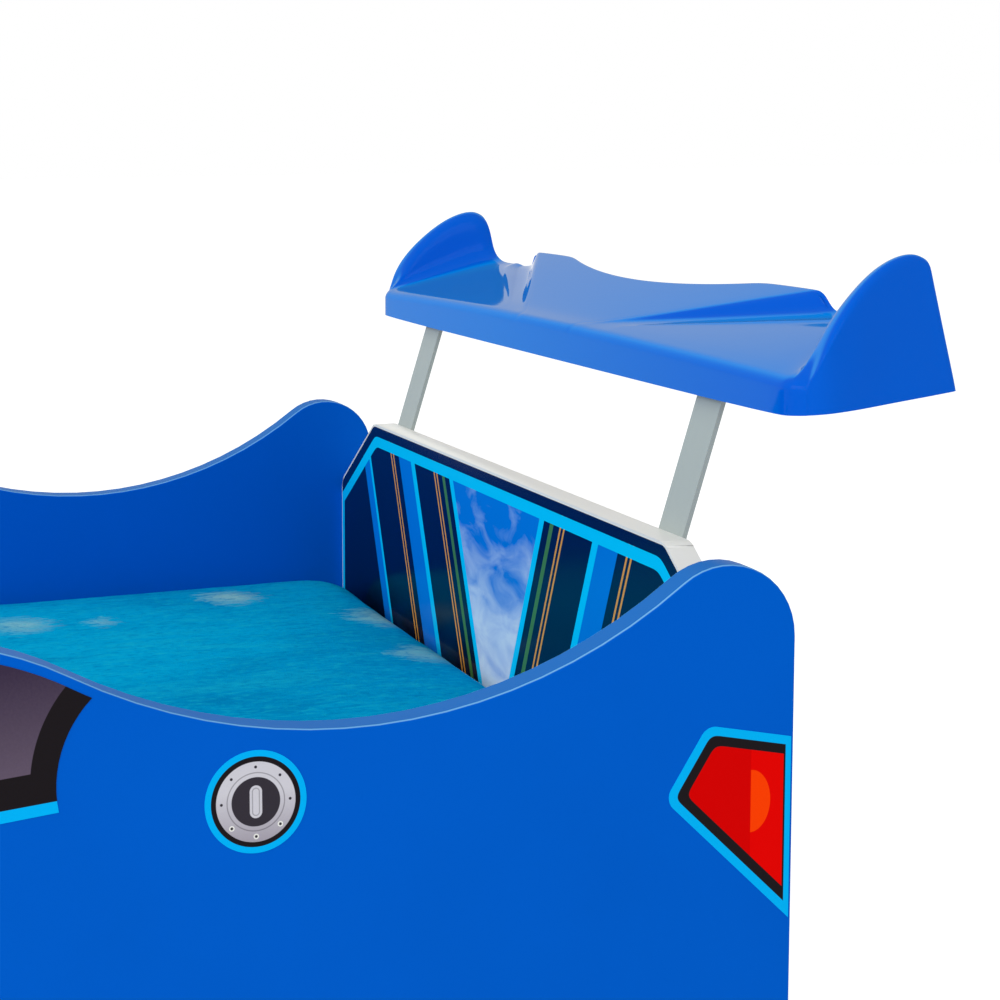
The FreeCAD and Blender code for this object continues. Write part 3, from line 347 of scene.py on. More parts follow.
class Effects:
    """Shader node groups that more than one finish places, each with its own values."""

    SKIN = "moulded_skin"
    TIMBER = "timber_grain"
    WEAVE = "cloth_weave"

    dimples: float = 900.0
    patches: float = 9.0
    grain_long: float = 1.5
    grain_close: float = 28.0
    ring_scale: float = 1.6
    ring_count: float = 46.0
    fibre_scale: float = 420.0

    def __init__(self) -> None:
        """Builds each group once."""
        self._skin()
        self._timber()
        self._weave()

    @staticmethod
    def place(tree: bpy.types.NodeTree, name: str, values: dict[str, float]) -> bpy.types.Node:
        """Places a group in a material.

        Args:
            tree: the material's nodes.
            name: the group's name.
            values: what each of its inputs is set to.
        Returns:
            The placed group's node.
        """
        node = tree.nodes.new("ShaderNodeGroup")
        node.node_tree = bpy.data.node_groups[name]
        for label, value in values.items():
            node.inputs[label].default_value = value
        return node

    @staticmethod
    def _start(name: str, inputs: dict[str, float]) -> tuple[bpy.types.NodeTree, bpy.types.Node]:
        """Makes an empty group.

        Args:
            name: the group's name.
            inputs: each input's name and first value.
        Returns:
            The group, and the node that gives its inputs.
        """
        group = bpy.data.node_groups.new(name, "ShaderNodeTree")
        for label, value in inputs.items():
            group.interface.new_socket(
                label, in_out="INPUT", socket_type="NodeSocketFloat").default_value = value
        return group, group.nodes.new("NodeGroupInput")

    @staticmethod
    def _end(group: bpy.types.NodeTree, outputs: dict[str, Field]) -> None:
        """Gives a group its outputs, each a value that changes over the surface.

        Args:
            group: the group.
            outputs: each output's name and value.
        """
        for label in outputs:
            group.interface.new_socket(label, in_out="OUTPUT", socket_type="NodeSocketFloat")
        target = group.nodes.new("NodeGroupOutput")
        for label, value in outputs.items():
            group.links.new(value.socket, target.inputs[label])

    def _skin(self) -> None:
        """A sprayed, moulded or laminated skin: fine dimples and uneven gloss."""
        inputs = {"Grain": self.dimples, "Gloss": 0.3, "Uneven": 0.06}
        group, source = self._start(self.SKIN, inputs)
        ground = Ground(group)
        fine = ground.noise(self.dimples, 2.0)
        group.links.new(source.outputs["Grain"], fine.socket.node.inputs["Scale"])
        broad = ground.noise(self.patches, 4.0)
        uneven = Field(group, source.outputs["Uneven"])
        gloss = Field(group, source.outputs["Gloss"]) + (broad - 0.5) * uneven * 2.0
        self._end(group, {"Height": fine, "Roughness": gloss, "Patch": broad})

    def _timber(self) -> None:
        """Long grain with darker late wood, running along X or along Y."""
        group, source = self._start(self.TIMBER, {"Along X": 1.0})
        long, close = self.grain_long, self.grain_close
        rings = []
        for stretch in (Vector((close, long, close)), Vector((long, close, close))):
            swirl = Ground(group).noise(self.ring_scale, 3.0, stretch, 0.6)
            rings.append((swirl * self.ring_count).sine() * 0.5 + 0.5)
        choice = Field(group, source.outputs["Along X"])
        late = rings[0] + (rings[1] - rings[0]) * choice
        late = late * late
        self._end(group, {"Late wood": late, "Height": late})

    def _weave(self) -> None:
        """A knitted or brushed cloth: two crossing thread waves and loose fibres."""
        group, source = self._start(self.WEAVE, {"Threads": 2600.0})
        ground = Ground(group)
        threads = Field(group, source.outputs["Threads"]) * MM
        warp, weft, rise = ((along * threads).sine() for along in (ground.x, ground.y, ground.z))
        fibres = ground.noise(self.fibre_scale, 3.0, Vector((1.0, 3.0, 1.0)))
        height = (warp * weft + rise) * 0.25 + fibres
        self._end(group, {"Height": height, "Fibres": fibres})


# ---- Finishes -------------------------------------------------------------------------


@dataclass(frozen=True)
class Finish:
    """How one kind of surface looks and how its fine relief is made."""

    name: str
    tone: Tone
    roughness: float = 0.4
    uneven: float = 0.06
    grain: float = 900.0
    relief: float = 0.03
    metallic: float = 0.0
    sheen: float = 0.0
    specular: float = 0.5
    patch_tone: Tone = Tone.PLASTIC_GREY

    def colour(self, ground: Ground, patch: Field) -> Paint:
        """The colour over the surface: the tone with faint uneven patches.

        Args:
            ground: the places on the surface.
            patch: the skin's broad uneven patches.
        Returns:
            The paint for the base colour.
        """
        shade = Paint(ground.tree, self.tone)
        return shade.blend(self.patch_tone, patch.ramp(0.45, 0.9), 0.06)

    def relief_of(self, ground: Ground, skin: bpy.types.Node) -> Field:
        """The height that the bump follows."""
        return Field(ground.tree, skin.outputs["Height"])

    def make(self) -> bpy.types.Material:
        """Builds the material.

        Returns:
            The material, named after the finish.
        """
        material = bpy.data.materials.new(self.name)
        material.use_nodes = True
        tree = material.node_tree
        shader = tree.nodes["Principled BSDF"]
        ground = Ground(tree)
        skin = Effects.place(tree, Effects.SKIN, {"Grain": self.grain, "Gloss": self.roughness,
                                                  "Uneven": self.uneven})
        paint = self.colour(ground, Field(tree, skin.outputs["Patch"]))
        tree.links.new(paint.socket, shader.inputs["Base Color"])
        tree.links.new(skin.outputs["Roughness"], shader.inputs["Roughness"])
        bump = tree.nodes.new("ShaderNodeBump")
        bump.inputs["Strength"].default_value = 1.0
        bump.inputs["Distance"].default_value = self.relief * MM
        tree.links.new(self.relief_of(ground, skin).socket, bump.inputs["Height"])
        tree.links.new(bump.outputs["Normal"], shader.inputs["Normal"])
        shader.inputs["Metallic"].default_value = self.metallic
        shader.inputs["Sheen Weight"].default_value = self.sheen
        shader.inputs["Specular IOR Level"].default_value = self.specular
        return material


@dataclass(frozen=True)
class PanelFinish(Finish):
    """Blue laminate with a paler band glued round the board's edge, and a painted highlight along
    the band's corners.
    """

    inner_x: float = 360.0
    outer_x: float = 378.0
    face_skin: float = 0.45
    # Painted highlight: how far in from each face its pale line starts and ends, in millimetres.
    painted_highlight_span: tuple[float, float] = (0.4, 1.25)
    # How far in from each face the faint grey over the band's middle stops, in millimetres.
    grey_inset: float = 2.0

    def colour(self, ground: Ground, patch: Field) -> Paint:
        """Blue faces, the edge band between them, a faint grey over its middle and a painted
        highlight along its two corners.

        Args:
            ground: the places on the surface.
            patch: the skin's broad uneven patches.
        Returns:
            The paint for the base colour.
        """
        shade = super().colour(ground, patch)
        out = ground.x.size()
        band = out.between(self.inner_x + self.face_skin, self.outer_x - self.face_skin)
        shade.lay(Tone.EDGE_BAND, band)
        corner = (out - (self.inner_x + self.outer_x) / 2).size()
        half = (self.outer_x - self.inner_x) / 2
        # A faint grey over the middle of the edge band, short of its corners.
        shade.blend(Tone.PLASTIC_GREY, band.least(corner.below(half - self.grey_inset)), 0.05)
        # Painted highlight: a pale line along both corners of the edge band, where its rounded
        # arris would catch the light.
        return shade.blend(Tone.TRIM, corner.between(half - self.painted_highlight_span[1], half - self.painted_highlight_span[0]), 0.6)


@dataclass(frozen=True)
class GlossFinish(Finish):
    """Glossy moulded plastic with painted reflection: its colour turns brighter and paler towards
    grazing angles, as a reflection of the white room would.
    """

    # Painted reflection, brighter blue: the Layer Weight facing values where it starts and is full.
    painted_reflection_from: tuple[float, float] = (0.46, 0.62)
    # Painted reflection, paler blue: the Layer Weight facing values where it starts and is full.
    pale_from: tuple[float, float] = (0.66, 0.84)

    def colour(self, ground: Ground, patch: Field) -> Paint:
        """The tone, with painted reflection: a brighter blue where seen aslant and a paler one
        beyond.

        Args:
            ground: the places on the surface.
            patch: the skin's broad uneven patches.
        Returns:
            The paint for the base colour.
        """
        shade = super().colour(ground, patch)
        weight = ground.tree.nodes.new("ShaderNodeLayerWeight")
        weight.inputs["Blend"].default_value = 0.5
        grazing_mask = Field(ground.tree, weight.outputs["Facing"])
        # Painted reflection: brighter then paler blue laid by how aslant the surface is seen,
        # standing in for the white room's reflection.
        shade.lay(Tone.SHINE_BLUE, grazing_mask.ramp(*self.painted_reflection_from))
        return shade.lay(Tone.SHINE_LOW, grazing_mask.ramp(*self.pale_from))


@dataclass(frozen=True)
class TimberFinish(Finish):
    """Planed pine, its grain along X or along Y."""

    along_x: bool = True

    def _grain(self, ground: Ground, output: str) -> Field:
        """Places the timber group in this finish and reads an output."""
        node = Effects.place(ground.tree, Effects.TIMBER, {"Along X": float(self.along_x)})
        return Field(ground.tree, node.outputs[output])

    def colour(self, ground: Ground, patch: Field) -> Paint:
        """Pale early wood with darker late wood lines.

        Args:
            ground: the places on the surface.
            patch: the skin's broad uneven patches.
        Returns:
            The paint for the base colour.
        """
        late = self._grain(ground, "Late wood")
        shade = Paint(ground.tree, self.tone).blend(Tone.PINE_DARK, late, 0.45)
        return shade.blend(Tone.PINE_DARK, patch.ramp(0.4, 0.8), 0.2)

    def relief_of(self, ground: Ground, skin: bpy.types.Node) -> Field:
        """Raised late wood."""
        return self._grain(ground, "Height")


@dataclass(frozen=True)
class ClothFinish(Finish):
    """Woven or knitted cloth."""

    threads: float = 2600.0

    def _weave(self, ground: Ground, output: str) -> Field:
        """Places the weave group in this finish and reads an output."""
        node = Effects.place(ground.tree, Effects.WEAVE, {"Threads": self.threads})
        return Field(ground.tree, node.outputs[output])

    def colour(self, ground: Ground, patch: Field) -> Paint:
        """The tone, a little lighter on its fibres."""
        light = self._weave(ground, "Fibres").ramp(0.45, 0.8)
        return super().colour(ground, patch).blend(Tone.BOARD_WHITE, light, 0.12)

    def relief_of(self, ground: Ground, skin: bpy.types.Node) -> Field:
        """Threads and fibres."""
        return self._weave(ground, "Height")


@dataclass(frozen=True)
class DyedClothFinish(ClothFinish):
    """The sheet: brushed cotton, dyed unevenly, with a few pale blotches.

    Each layer of the dye is noise: patches to the metre, detail, stretch along X and Y and
    swirl. Each blotch is its place in millimetres, its reach and how pale it is."""

    cloud: tuple[float, float, float, float, float] = (2.6, 3.0, 1.5, 1.0, 0.4)
    streak: tuple[float, float, float, float, float] = (17.0, 6.0, 1.9, 0.45, 0.8)
    brush: tuple[float, float, float, float, float] = (70.0, 6.0, 2.6, 0.6, 0.7)
    lint: tuple[float, float, float, float, float] = (260.0, 6.0, 1.0, 0.5, 0.6)
    blotches: tuple[tuple[float, float, float, float], ...] = (
        (-279.0, 526.0, 26.0, 0.75), (-235.0, 338.0, 26.0, 0.6), (-226.0, 403.0, 13.0, 0.4),
        (-185.0, 634.0, 30.0, 0.65), (-60.0, 622.0, 24.0, 0.45), (60.0, 180.0, 24.0, 0.6),
        (-120.0, -20.0, 27.0, 0.6), (215.0, -160.0, 22.0, 0.55), (-250.0, -290.0, 25.0, 0.6),
        (110.0, -420.0, 26.0, 0.6), (-90.0, -610.0, 20.0, 0.5), (240.0, 440.0, 18.0, 0.5))

    @staticmethod
    def _layer(ground: Ground, layer: tuple[float, float, float, float, float]) -> Field:
        """One layer of the dye as noise."""
        scale, detail, stretch_x, stretch_y, swirl = layer
        return ground.noise(scale, detail, Vector((stretch_x, stretch_y, 1.0)), swirl)

    def colour(self, ground: Ground, patch: Field) -> Paint:
        """Turquoise in streaks, deeper and paler in turn, with pale blotches.

        Args:
            ground: the places on the surface.
            patch: not used.
        Returns:
            The paint for the base colour.
        """
        shade = Paint(ground.tree, self.tone)
        cloud = self._layer(ground, self.cloud)
        shade.blend(Tone.SHEET_DEEP, cloud.ramp(0.50, 0.70), 0.65)
        shade.blend(Tone.SHEET_PALE, cloud.ramp(0.48, 0.28), 0.30)
        streaks = self._layer(ground, self.streak)
        shade.blend(Tone.SHEET_PALE, streaks.ramp(0.55, 0.78), 0.45)
        shade.blend(Tone.SHEET_DEEP, streaks.ramp(0.47, 0.22), 0.60)
        brush = self._layer(ground, self.brush)
        shade.blend(Tone.SHEET_PALE, brush.ramp(0.54, 0.74), 0.45)
        shade.blend(Tone.SHEET_DEEP, brush.ramp(0.47, 0.26), 0.50)
        lint = self._layer(ground, self.lint)
        for x, y, reach, amount in self.blotches:
            along = (ground.y - y) * 0.85 + (streaks - 0.5) * 40.0 + (lint - 0.5) * 40.0
            radius = along.reach((ground.x - x) * 0.75 + (brush - 0.5) * 30.0)
            shade.blend(Tone.SHEET_WORN, radius.ramp(reach, reach * 0.2), amount)
        shade.blend(Tone.SHEET_PALE, lint.ramp(0.52, 0.78), 0.50)
        return shade.blend(Tone.SHEET_DEEP, lint.ramp(0.47, 0.22), 0.65)


@dataclass(frozen=True)
class PrintFinish(Finish):
    """A printed film on a side panel; patterns are drawn by u, the distance forward of
    the tail edge, and h, the height above the floor, both in millimetres."""

    tail_y: float = 0.684

    def u(self, ground: Ground) -> Field:
        """The distance forward of the tail edge."""
        return self.tail_y / MM - ground.y


def polygon_depth(u: Field, h: Field, corners: list[tuple[float, float]], blend: float) -> Field:
    """How deep a point lies inside a convex outline.

    Args:
        u: the first coordinate.
        h: the second coordinate.
        corners: the outline, anticlockwise in (u, h).
        blend: the width over which the corners are rounded.
    Returns:
        The distance to the nearest side, negative outside.
    """
    depth: Field | None = None
    for (u0, h0), (u1, h1) in zip(corners, corners[1:] + corners[:1]):
        length = math.hypot(u1 - u0, h1 - h0)
        across_u = -(h1 - h0) / length
        across_h = (u1 - u0) / length
        side = (u - u0) * across_u + (h - h0) * across_h
        depth = side if depth is None else depth.round_least(side, blend)
    return depth


@dataclass(frozen=True)
class WindowPrint(PrintFinish):
    """The side window: smoky glass in a black frame over a cyan line."""

    bulge_centre: tuple[float, float] = (359.8, 410.6)
    bulge_radius: float = 64.9
    frame_width: float = 14.5
    glass_low: float = 418.4
    glass_slope: float = 0.09
    glass_slope_u: float = 439.3
    glass_fade: tuple[float, float] = (474.0, 414.0)
    line_low: float = 401.7
    pillar: tuple[float, float] = (700.0, 440.0)
    pillar_lean: float = 0.35
    pillar_width: float = 24.0
    front: tuple[float, float] = (935.0, 347.0)
    front_normal: tuple[float, float] = (0.56, 0.83)
    dots_to_metre: float = 700.0
    dot_spread: float = 14.0

    def colour(self, ground: Ground, patch: Field) -> Paint:
        """Glass that pales downwards, its frame, a door pillar and the line.

        Args:
            ground: the places on the surface.
            patch: not used.
        Returns:
            The paint for the base colour.
        """
        u, h = self.u(ground), ground.z
        fall = (u - self.glass_slope_u) * self.glass_slope
        shade = Paint(ground.tree, Tone.GLASS_HIGH)
        dots = (ground.noise(self.dots_to_metre, 2.0) - 0.5) * self.dot_spread
        shade.lay(Tone.GLASS_LOW, (h + fall + dots).ramp(*self.glass_fade))
        radius = (u - self.bulge_centre[0]).reach(h - self.bulge_centre[1])
        shade.lay(Tone.NEAR_BLACK, radius.below(self.bulge_radius + self.frame_width))
        pillar = (u - self.pillar[0] - (h - self.pillar[1]) * self.pillar_lean).size()
        shade.lay(Tone.NEAR_BLACK, pillar.below(self.pillar_width / 2))
        shade.lay(Tone.NEAR_BLACK, (h + fall).below(self.glass_low))
        across_u, across_h = self.front_normal
        front = (u - self.front[0]) * across_u - (h - self.front[1]) * across_h
        shade.lay(Tone.NEAR_BLACK, front.above(-self.frame_width))
        return shade.lay(Tone.CYAN, (h + fall).below(self.line_low))


@dataclass(frozen=True)
class FuelCapPrint(PrintFinish):
    """A round filler cap with eight screws and a plain twist grip."""

    centre: tuple[float, float] = (319.3, 391.8)
    black_r: float = 24.6
    disc_r: float = 21.8
    screw_circle_r: float = 18.9
    groove_r: float = 15.8
    hub_r: float = 13.4
    screw_count: int = 8
    screw_r: float = 0.8
    screw_rim_r: float = 1.5
    low_screws_h: float = -4.0
    shade_h: tuple[float, float] = (6.0, -24.0)
    groove_half: float = 0.3
    grip_half: float = 5.5
    grip_r: float = 3.4
    grip_line: tuple[float, float] = (1.6, 2.2)

    def colour(self, ground: Ground, patch: Field) -> Paint:
        """Rings from the outside in, then the screws and the grip.

        Args:
            ground: the places on the surface.
            patch: not used.
        Returns:
            The paint for the base colour.
        """
        u, h = self.u(ground) - self.centre[0], ground.z - self.centre[1]
        radius = u.reach(h)
        shade = Paint(ground.tree, Tone.CYAN)
        shade.lay(Tone.NEAR_BLACK, radius.below(self.black_r))
        shade.lay(Tone.CAP_LIGHT, radius.below(self.disc_r))
        shade.lay(Tone.CAP_SHADE, radius.below(self.disc_r).least(h.ramp(*self.shade_h)))
        step = 2.0 * math.pi / self.screw_count
        turn = h.angle(u).wrap(step / 2, -step / 2)
        screw = (radius * turn.sine()).reach(radius - self.screw_circle_r)
        shade.lay(Tone.BOARD_WHITE, screw.below(self.screw_rim_r).least(h.below(self.low_screws_h)))
        shade.lay(Tone.CAP_DARK, screw.below(self.screw_r))
        groove = (radius - self.groove_r).size().below(self.groove_half)
        shade.blend(Tone.CAP_DARK, groove, 0.5)
        shade.lay(Tone.CAP_DARK, radius.below(self.hub_r))
        grip = (h.size() - self.grip_half).most(0.0).reach(u)
        shade.lay(Tone.CAP_LIGHT, grip.below(self.grip_r))
        return shade.blend(Tone.CAP_DARK, grip.between(*self.grip_line), 0.45)


@dataclass(frozen=True)
class TailLampPrint(PrintFinish):
    """The rear lamp: red glass in two reds with an orange half disc."""

    corners: tuple[tuple[float, float], ...] = (
        (2.0, 398.0), (55.0, 409.0), (81.0, 368.0), (2.0, 291.0))
    corner_blend: float = 7.0
    past_edge: float = 142.0
    cyan_width: float = 5.0
    black_width: float = 5.6
    edge_cyan: float = 3.4
    edge_black: float = 1.2
    split_u: float = 27.2
    disc_h: float = 362.4
    disc_reach: tuple[float, float] = (12.4, 18.2)

    def _past_edge(self, edge: tuple[float, float],
                   ahead: tuple[float, float]) -> tuple[float, float]:
        """A side of the lamp drawn on past the panel's edge, where it is cut off."""
        slope = (ahead[1] - edge[1]) / (ahead[0] - edge[0])
        return edge[0] - self.past_edge, edge[1] - self.past_edge * slope

    def colour(self, ground: Ground, patch: Field) -> Paint:
        """Cyan line, black frame, two reds and the half disc.

        Args:
            ground: the places on the surface.
            patch: not used.
        Returns:
            The paint for the base colour.
        """
        u, h = self.u(ground), ground.z
        top, high, tip, low = self.corners
        outline = [self._past_edge(top, high), self._past_edge(low, tip), tip, high]
        depth = polygon_depth(u, h, outline, self.corner_blend)
        edge = u - top[0]
        shade = Paint(ground.tree, Tone.CYAN)
        black = depth.above(self.cyan_width).least(edge.above(self.edge_cyan))
        shade.lay(Tone.NEAR_BLACK, black)
        inside = depth.above(self.cyan_width + self.black_width)
        glass = inside.least(edge.above(self.edge_cyan + self.edge_black))
        shade.lay(Tone.LAMP_RED, glass)
        shade.lay(Tone.LAMP_BRIGHT, glass.least(u.below(self.split_u)))
        wide, tall = self.disc_reach
        disc = ((self.split_u - u) / wide).reach((h - self.disc_h) / tall)
        return shade.lay(Tone.LAMP_ORANGE, disc.below(1.0, 0.02).least(u.below(self.split_u)))


@dataclass(frozen=True)
class HeadLampPrint(PrintFinish):
    """The front lamp: pale glass with two round reflectors in a black frame."""

    nose_u: float = 1462.0
    middle_h: float = 296.0
    reach: float = 24.0
    length: float = 107.0
    corner_blend: float = 3.0
    cyan_width: float = 3.0
    frame_width: float = 4.0
    reflectors: tuple[tuple[float, float], ...] = ((22.0, 11.0), (50.0, 9.0))
    bulb_share: float = 0.66
    rim_share: float = 0.84

    def colour(self, ground: Ground, patch: Field) -> Paint:
        """Cyan line, black frame, glass and reflectors.

        Args:
            ground: the places on the surface.
            patch: not used.
        Returns:
            The paint for the base colour.
        """
        u, h = self.u(ground), ground.z
        r, nose, middle = self.reach, self.nose_u, self.middle_h
        corners = [(nose, middle + r / 2), (nose - 2 * r, middle + r),
                   (nose - self.length, middle + r / 2), (nose - 2 * r, middle - r),
                   (nose, middle - r)]
        depth = polygon_depth(u, h, corners, self.corner_blend)
        shade = Paint(ground.tree, Tone.CYAN)
        shade.lay(Tone.NEAR_BLACK, depth.above(self.cyan_width))
        shade.lay(Tone.LAMP_GLASS, depth.above(self.cyan_width + self.frame_width))
        for behind, lamp_r in self.reflectors:
            ring = (u - (nose - behind)).reach(h - middle)
            shade.lay(Tone.RIM, ring.below(lamp_r))
            shade.lay(Tone.BOARD_WHITE, ring.below(lamp_r * self.bulb_share))
            shade.lay(Tone.CAP_SHADE, ring.between(lamp_r * self.rim_share, lamp_r))
        return shade


@dataclass(frozen=True)
class WheelPrint(PrintFinish):
    """A tyre and a five-spoked rim, drawn the same on each wheel disc."""

    wheel_u: tuple[float, float] = (300.0, 1190.0)
    wheel_h: float = 108.0
    side_lines: tuple[float, ...] = (92.0, 88.5, 76.0)
    side_line_half: float = 0.5
    rim_r: float = 70.0
    rim_width: float = 6.0
    spoke_count: int = 5
    spoke_half: float = 6.0
    spoke_widening: float = 0.10
    spoke_ridge: tuple[float, float] = (2.0, 1.5)
    nave_r: float = 20.0
    bolt_circle_r: float = 15.0
    bolt_r: float = 2.2
    hub_r: tuple[float, float] = (9.5, 7.5)

    def colour(self, ground: Ground, patch: Field) -> Paint:
        """Tyre with side lines, rim, spokes, bolts and hub.

        Args:
            ground: the places on the surface.
            patch: not used.
        Returns:
            The paint for the base colour.
        """
        along = self.u(ground)
        halfway = sum(self.wheel_u) / 2
        front = along.above(halfway)
        u = along - self.wheel_u[0] - front * (self.wheel_u[1] - self.wheel_u[0])
        h = ground.z - self.wheel_h
        radius = u.reach(h)
        shade = Paint(ground.tree, Tone.TYRE)
        for line_r in self.side_lines:
            line = (radius - line_r).size().below(self.side_line_half)
            shade.blend(Tone.PLASTIC_GREY, line, 0.45)
        shade.lay(Tone.RIM, radius.below(self.rim_r))
        shade.lay(Tone.CAP_DARK, radius.below(self.rim_r - self.rim_width))
        step = 2.0 * math.pi / self.spoke_count
        turn = (h.angle(u) + math.pi / 2).wrap(step / 2, -step / 2)
        width = (radius * turn.sine()).size()
        spoke = (width - radius * self.spoke_widening).below(self.spoke_half)
        spoke = spoke.least(radius.below(self.rim_r - self.rim_width / 2))
        shade.lay(Tone.RIM, spoke)
        shade.blend(Tone.CAP_SHADE, spoke.least(width.below(*self.spoke_ridge)), 0.7)
        shade.lay(Tone.RIM, radius.below(self.nave_r))
        bolt = (radius * turn.sine()).reach(radius - self.bolt_circle_r)
        shade.lay(Tone.CAP_DARK, bolt.below(self.bolt_r))
        shade.lay(Tone.CAP_SHADE, radius.below(self.hub_r[0]))
        return shade.lay(Tone.CYAN, radius.below(self.hub_r[1]))


@dataclass(frozen=True)
class BoardPicture(Finish):
    """The tail board's inner face: slanted bands that meet in the middle, inside a
    cyan line that follows the board's outline."""

    top_h: float = 489.0
    half: float = 358.0
    chamfer: tuple[float, float] = (89.0, 63.0)
    lean: float = 0.42
    sheet_h: float = 336.0
    fade_h: tuple[float, float] = (470.0, 330.0)
    middle: tuple[float, float] = (34.0, 26.0)
    mottles_to_metre: float = 22.0
    mottle_depth: float = 2.2
    pale_from: tuple[float, float] = (5.7, 4.5)
    bands: tuple[tuple[Tone, float, float], ...] = (
        (Tone.LEAF, 44.0, 50.0), (Tone.AMBER, 60.0, 62.4), (Tone.AMBER, 66.0, 68.4),
        (Tone.SKY, 112.0, 150.0), (Tone.CYAN_BRIGHT, 112.0, 121.0), (Tone.AMBER, 162.0, 164.4),
        (Tone.AMBER, 168.0, 170.4), (Tone.SKY, 226.0, 246.0), (Tone.CYAN_BRIGHT, 226.0, 231.0))
    corner_blend: float = 6.0
    outline: tuple[float, float] = (8.0, 17.0)
    end_line: tuple[float, float] = (-1.0, 6.0)

    def colour(self, ground: Ground, patch: Field) -> Paint:
        """Navy ground, bands from the middle outwards, then the outline.

        Args:
            ground: the places on the surface.
            patch: not used.
        Returns:
            The paint for the base colour.
        """
        x, h = ground.x.size(), ground.z
        out = x - (h - self.sheet_h) * self.lean
        mottle = ground.noise(self.mottles_to_metre, 5.0, Vector((1.0, 1.0, 2.0)), 0.6)
        shade = Paint(ground.tree, Tone.NAVY)
        shade.lay(Tone.NAVY_DEEP, h.ramp(*self.fade_h))
        shade.lay(Tone.CYAN_BRIGHT, out.below(self.middle[0]))
        core = out.below(self.middle[1])
        shade.lay(Tone.SKY, core)
        pale = (h * 0.01 + mottle * self.mottle_depth).ramp(*self.pale_from)
        shade.lay(Tone.SKY_PALE, core.least(pale))
        for tone, start, end in self.bands:
            shade.lay(tone, out.between(start, end))
        run, drop = self.chamfer
        length = math.hypot(run, drop)
        slope = (self.half - run - x) * (drop / length) + (self.top_h - h) * (run / length)
        edge = slope.round_least(self.top_h - h, self.corner_blend)
        start, end = self.outline
        shade.lay(Tone.NAVY, edge.below(start))
        sides = (self.half - x).between(*self.end_line).least(edge.above(start))
        return shade.lay(Tone.CYAN_BRIGHT, edge.between(start, end).most(sides))


@dataclass(frozen=True)
class GrillePicture(Finish):
    """The nose board's outer face: a dark grille with level bars in a cyan line."""

    half: tuple[float, float] = (300.0, 75.0)
    middle_h: float = 236.0
    corner_r: float = 40.0
    cyan_width: float = 6.0
    frame_width: float = 8.0
    bar_pitch: float = 14.0
    bar_half: float = 2.2
    bar_shadow: float = 3.6
    centre_half: tuple[float, float] = (34.0, 22.0)

    def colour(self, ground: Ground, patch: Field) -> Paint:
        """Cyan line, black frame, level bars and a plain blue plate over their middle.

        Args:
            ground: the places on the surface.
            patch: not used.
        Returns:
            The paint for the base colour.
        """
        x, h = ground.x.size(), ground.z - self.middle_h
        over_x = (x - (self.half[0] - self.corner_r)).most(0.0)
        over_h = (h.size() - (self.half[1] - self.corner_r)).most(0.0)
        depth = self.corner_r - over_x.reach(over_h)
        shade = Paint(ground.tree, Tone.CYAN)
        shade.lay(Tone.NEAR_BLACK, depth.above(self.cyan_width))
        inside = depth.above(self.cyan_width + self.frame_width)
        bars = h.wrap(self.bar_pitch / 2, -self.bar_pitch / 2).size()
        shade.lay(Tone.CAP_DARK, inside)
        shade.lay(Tone.RIM, inside.least(bars.below(self.bar_half)))
        shade.lay(Tone.NEAR_BLACK, inside.least(bars.between(self.bar_half, self.bar_shadow)))
        plate = x.below(self.centre_half[0]).least(h.size().below(self.centre_half[1]))
        return shade.lay(Tone.PANEL_BLUE, inside.least(plate))


class Finishes:
    """All the bed's finishes, each made into a material once."""

    def __init__(self, tail_y: float) -> None:
        """Makes every material.

        Args:
            tail_y: where the side panels end at the tail, in metres.
        """
        Effects()
        print_skin = {"roughness": 0.35, "uneven": 0.05, "specular": 0.02}
        side_print = {**print_skin, "tail_y": tail_y}
        wanted = (
            PanelFinish("blue_laminate", Tone.PANEL_BLUE, 0.36, 0.05, 700.0, 0.02, specular=0.01,
                        patch_tone=Tone.NAVY),
            Finish("white_laminate", Tone.BOARD_WHITE, 0.38, 0.05, 800.0, 0.02),
            GlossFinish("blue_plastic", Tone.SPOILER_BLUE, 0.05, 0.02, 40.0, 0.03, specular=0.04,
                        patch_tone=Tone.PANEL_BLUE),
            Finish("bar_paint", Tone.BAR_GREY, 0.42, 0.06, 1500.0, 0.04),
            Finish("bright_steel", Tone.STEEL, 0.28, 0.10, 1200.0, 0.01, metallic=1.0),
            Finish("cast_zinc", Tone.ZINC, 0.45, 0.10, 1500.0, 0.05, metallic=1.0),
            Finish("grey_plastic", Tone.PLASTIC_GREY, 0.5, 0.06, 1600.0, 0.04),
            Finish("black_board", Tone.TYRE, 0.45, 0.08, 900.0, 0.04),
            TimberFinish("slat_pine", Tone.PINE, 0.55, 0.08, relief=0.12),
            TimberFinish("rail_pine", Tone.PINE, 0.55, 0.08, relief=0.12, along_x=False),
            ClothFinish("mattress_ticking", Tone.TICKING, 0.85, 0.05, relief=0.25, sheen=0.2),
            DyedClothFinish("dyed_sheet", Tone.SHEET, 0.9, 0.05, relief=0.3, specular=0.0),
            WindowPrint("window_film", Tone.GLASS_HIGH, **side_print),
            FuelCapPrint("fuel_cap_film", Tone.CYAN, **side_print),
            TailLampPrint("tail_lamp_film", Tone.LAMP_RED, **side_print),
            HeadLampPrint("headlamp_film", Tone.LAMP_GLASS, **side_print),
            WheelPrint("wheel_film", Tone.TYRE, **{**side_print, "roughness": 0.4}),
            BoardPicture("board_film", Tone.NAVY, 0.16, 0.04, specular=0.25),
            GrillePicture("grille_film", Tone.NEAR_BLACK, **print_skin),
        )
        self.materials = {finish.name: finish.make() for finish in wanted}

    def dress(self, piece: bpy.types.Object, name: str) -> None:
        """Gives a piece one material all over."""
        piece.data.materials.clear()
        piece.data.materials.append(self.materials[name])


# ---- Working on meshes ------------------------------------------------------------------


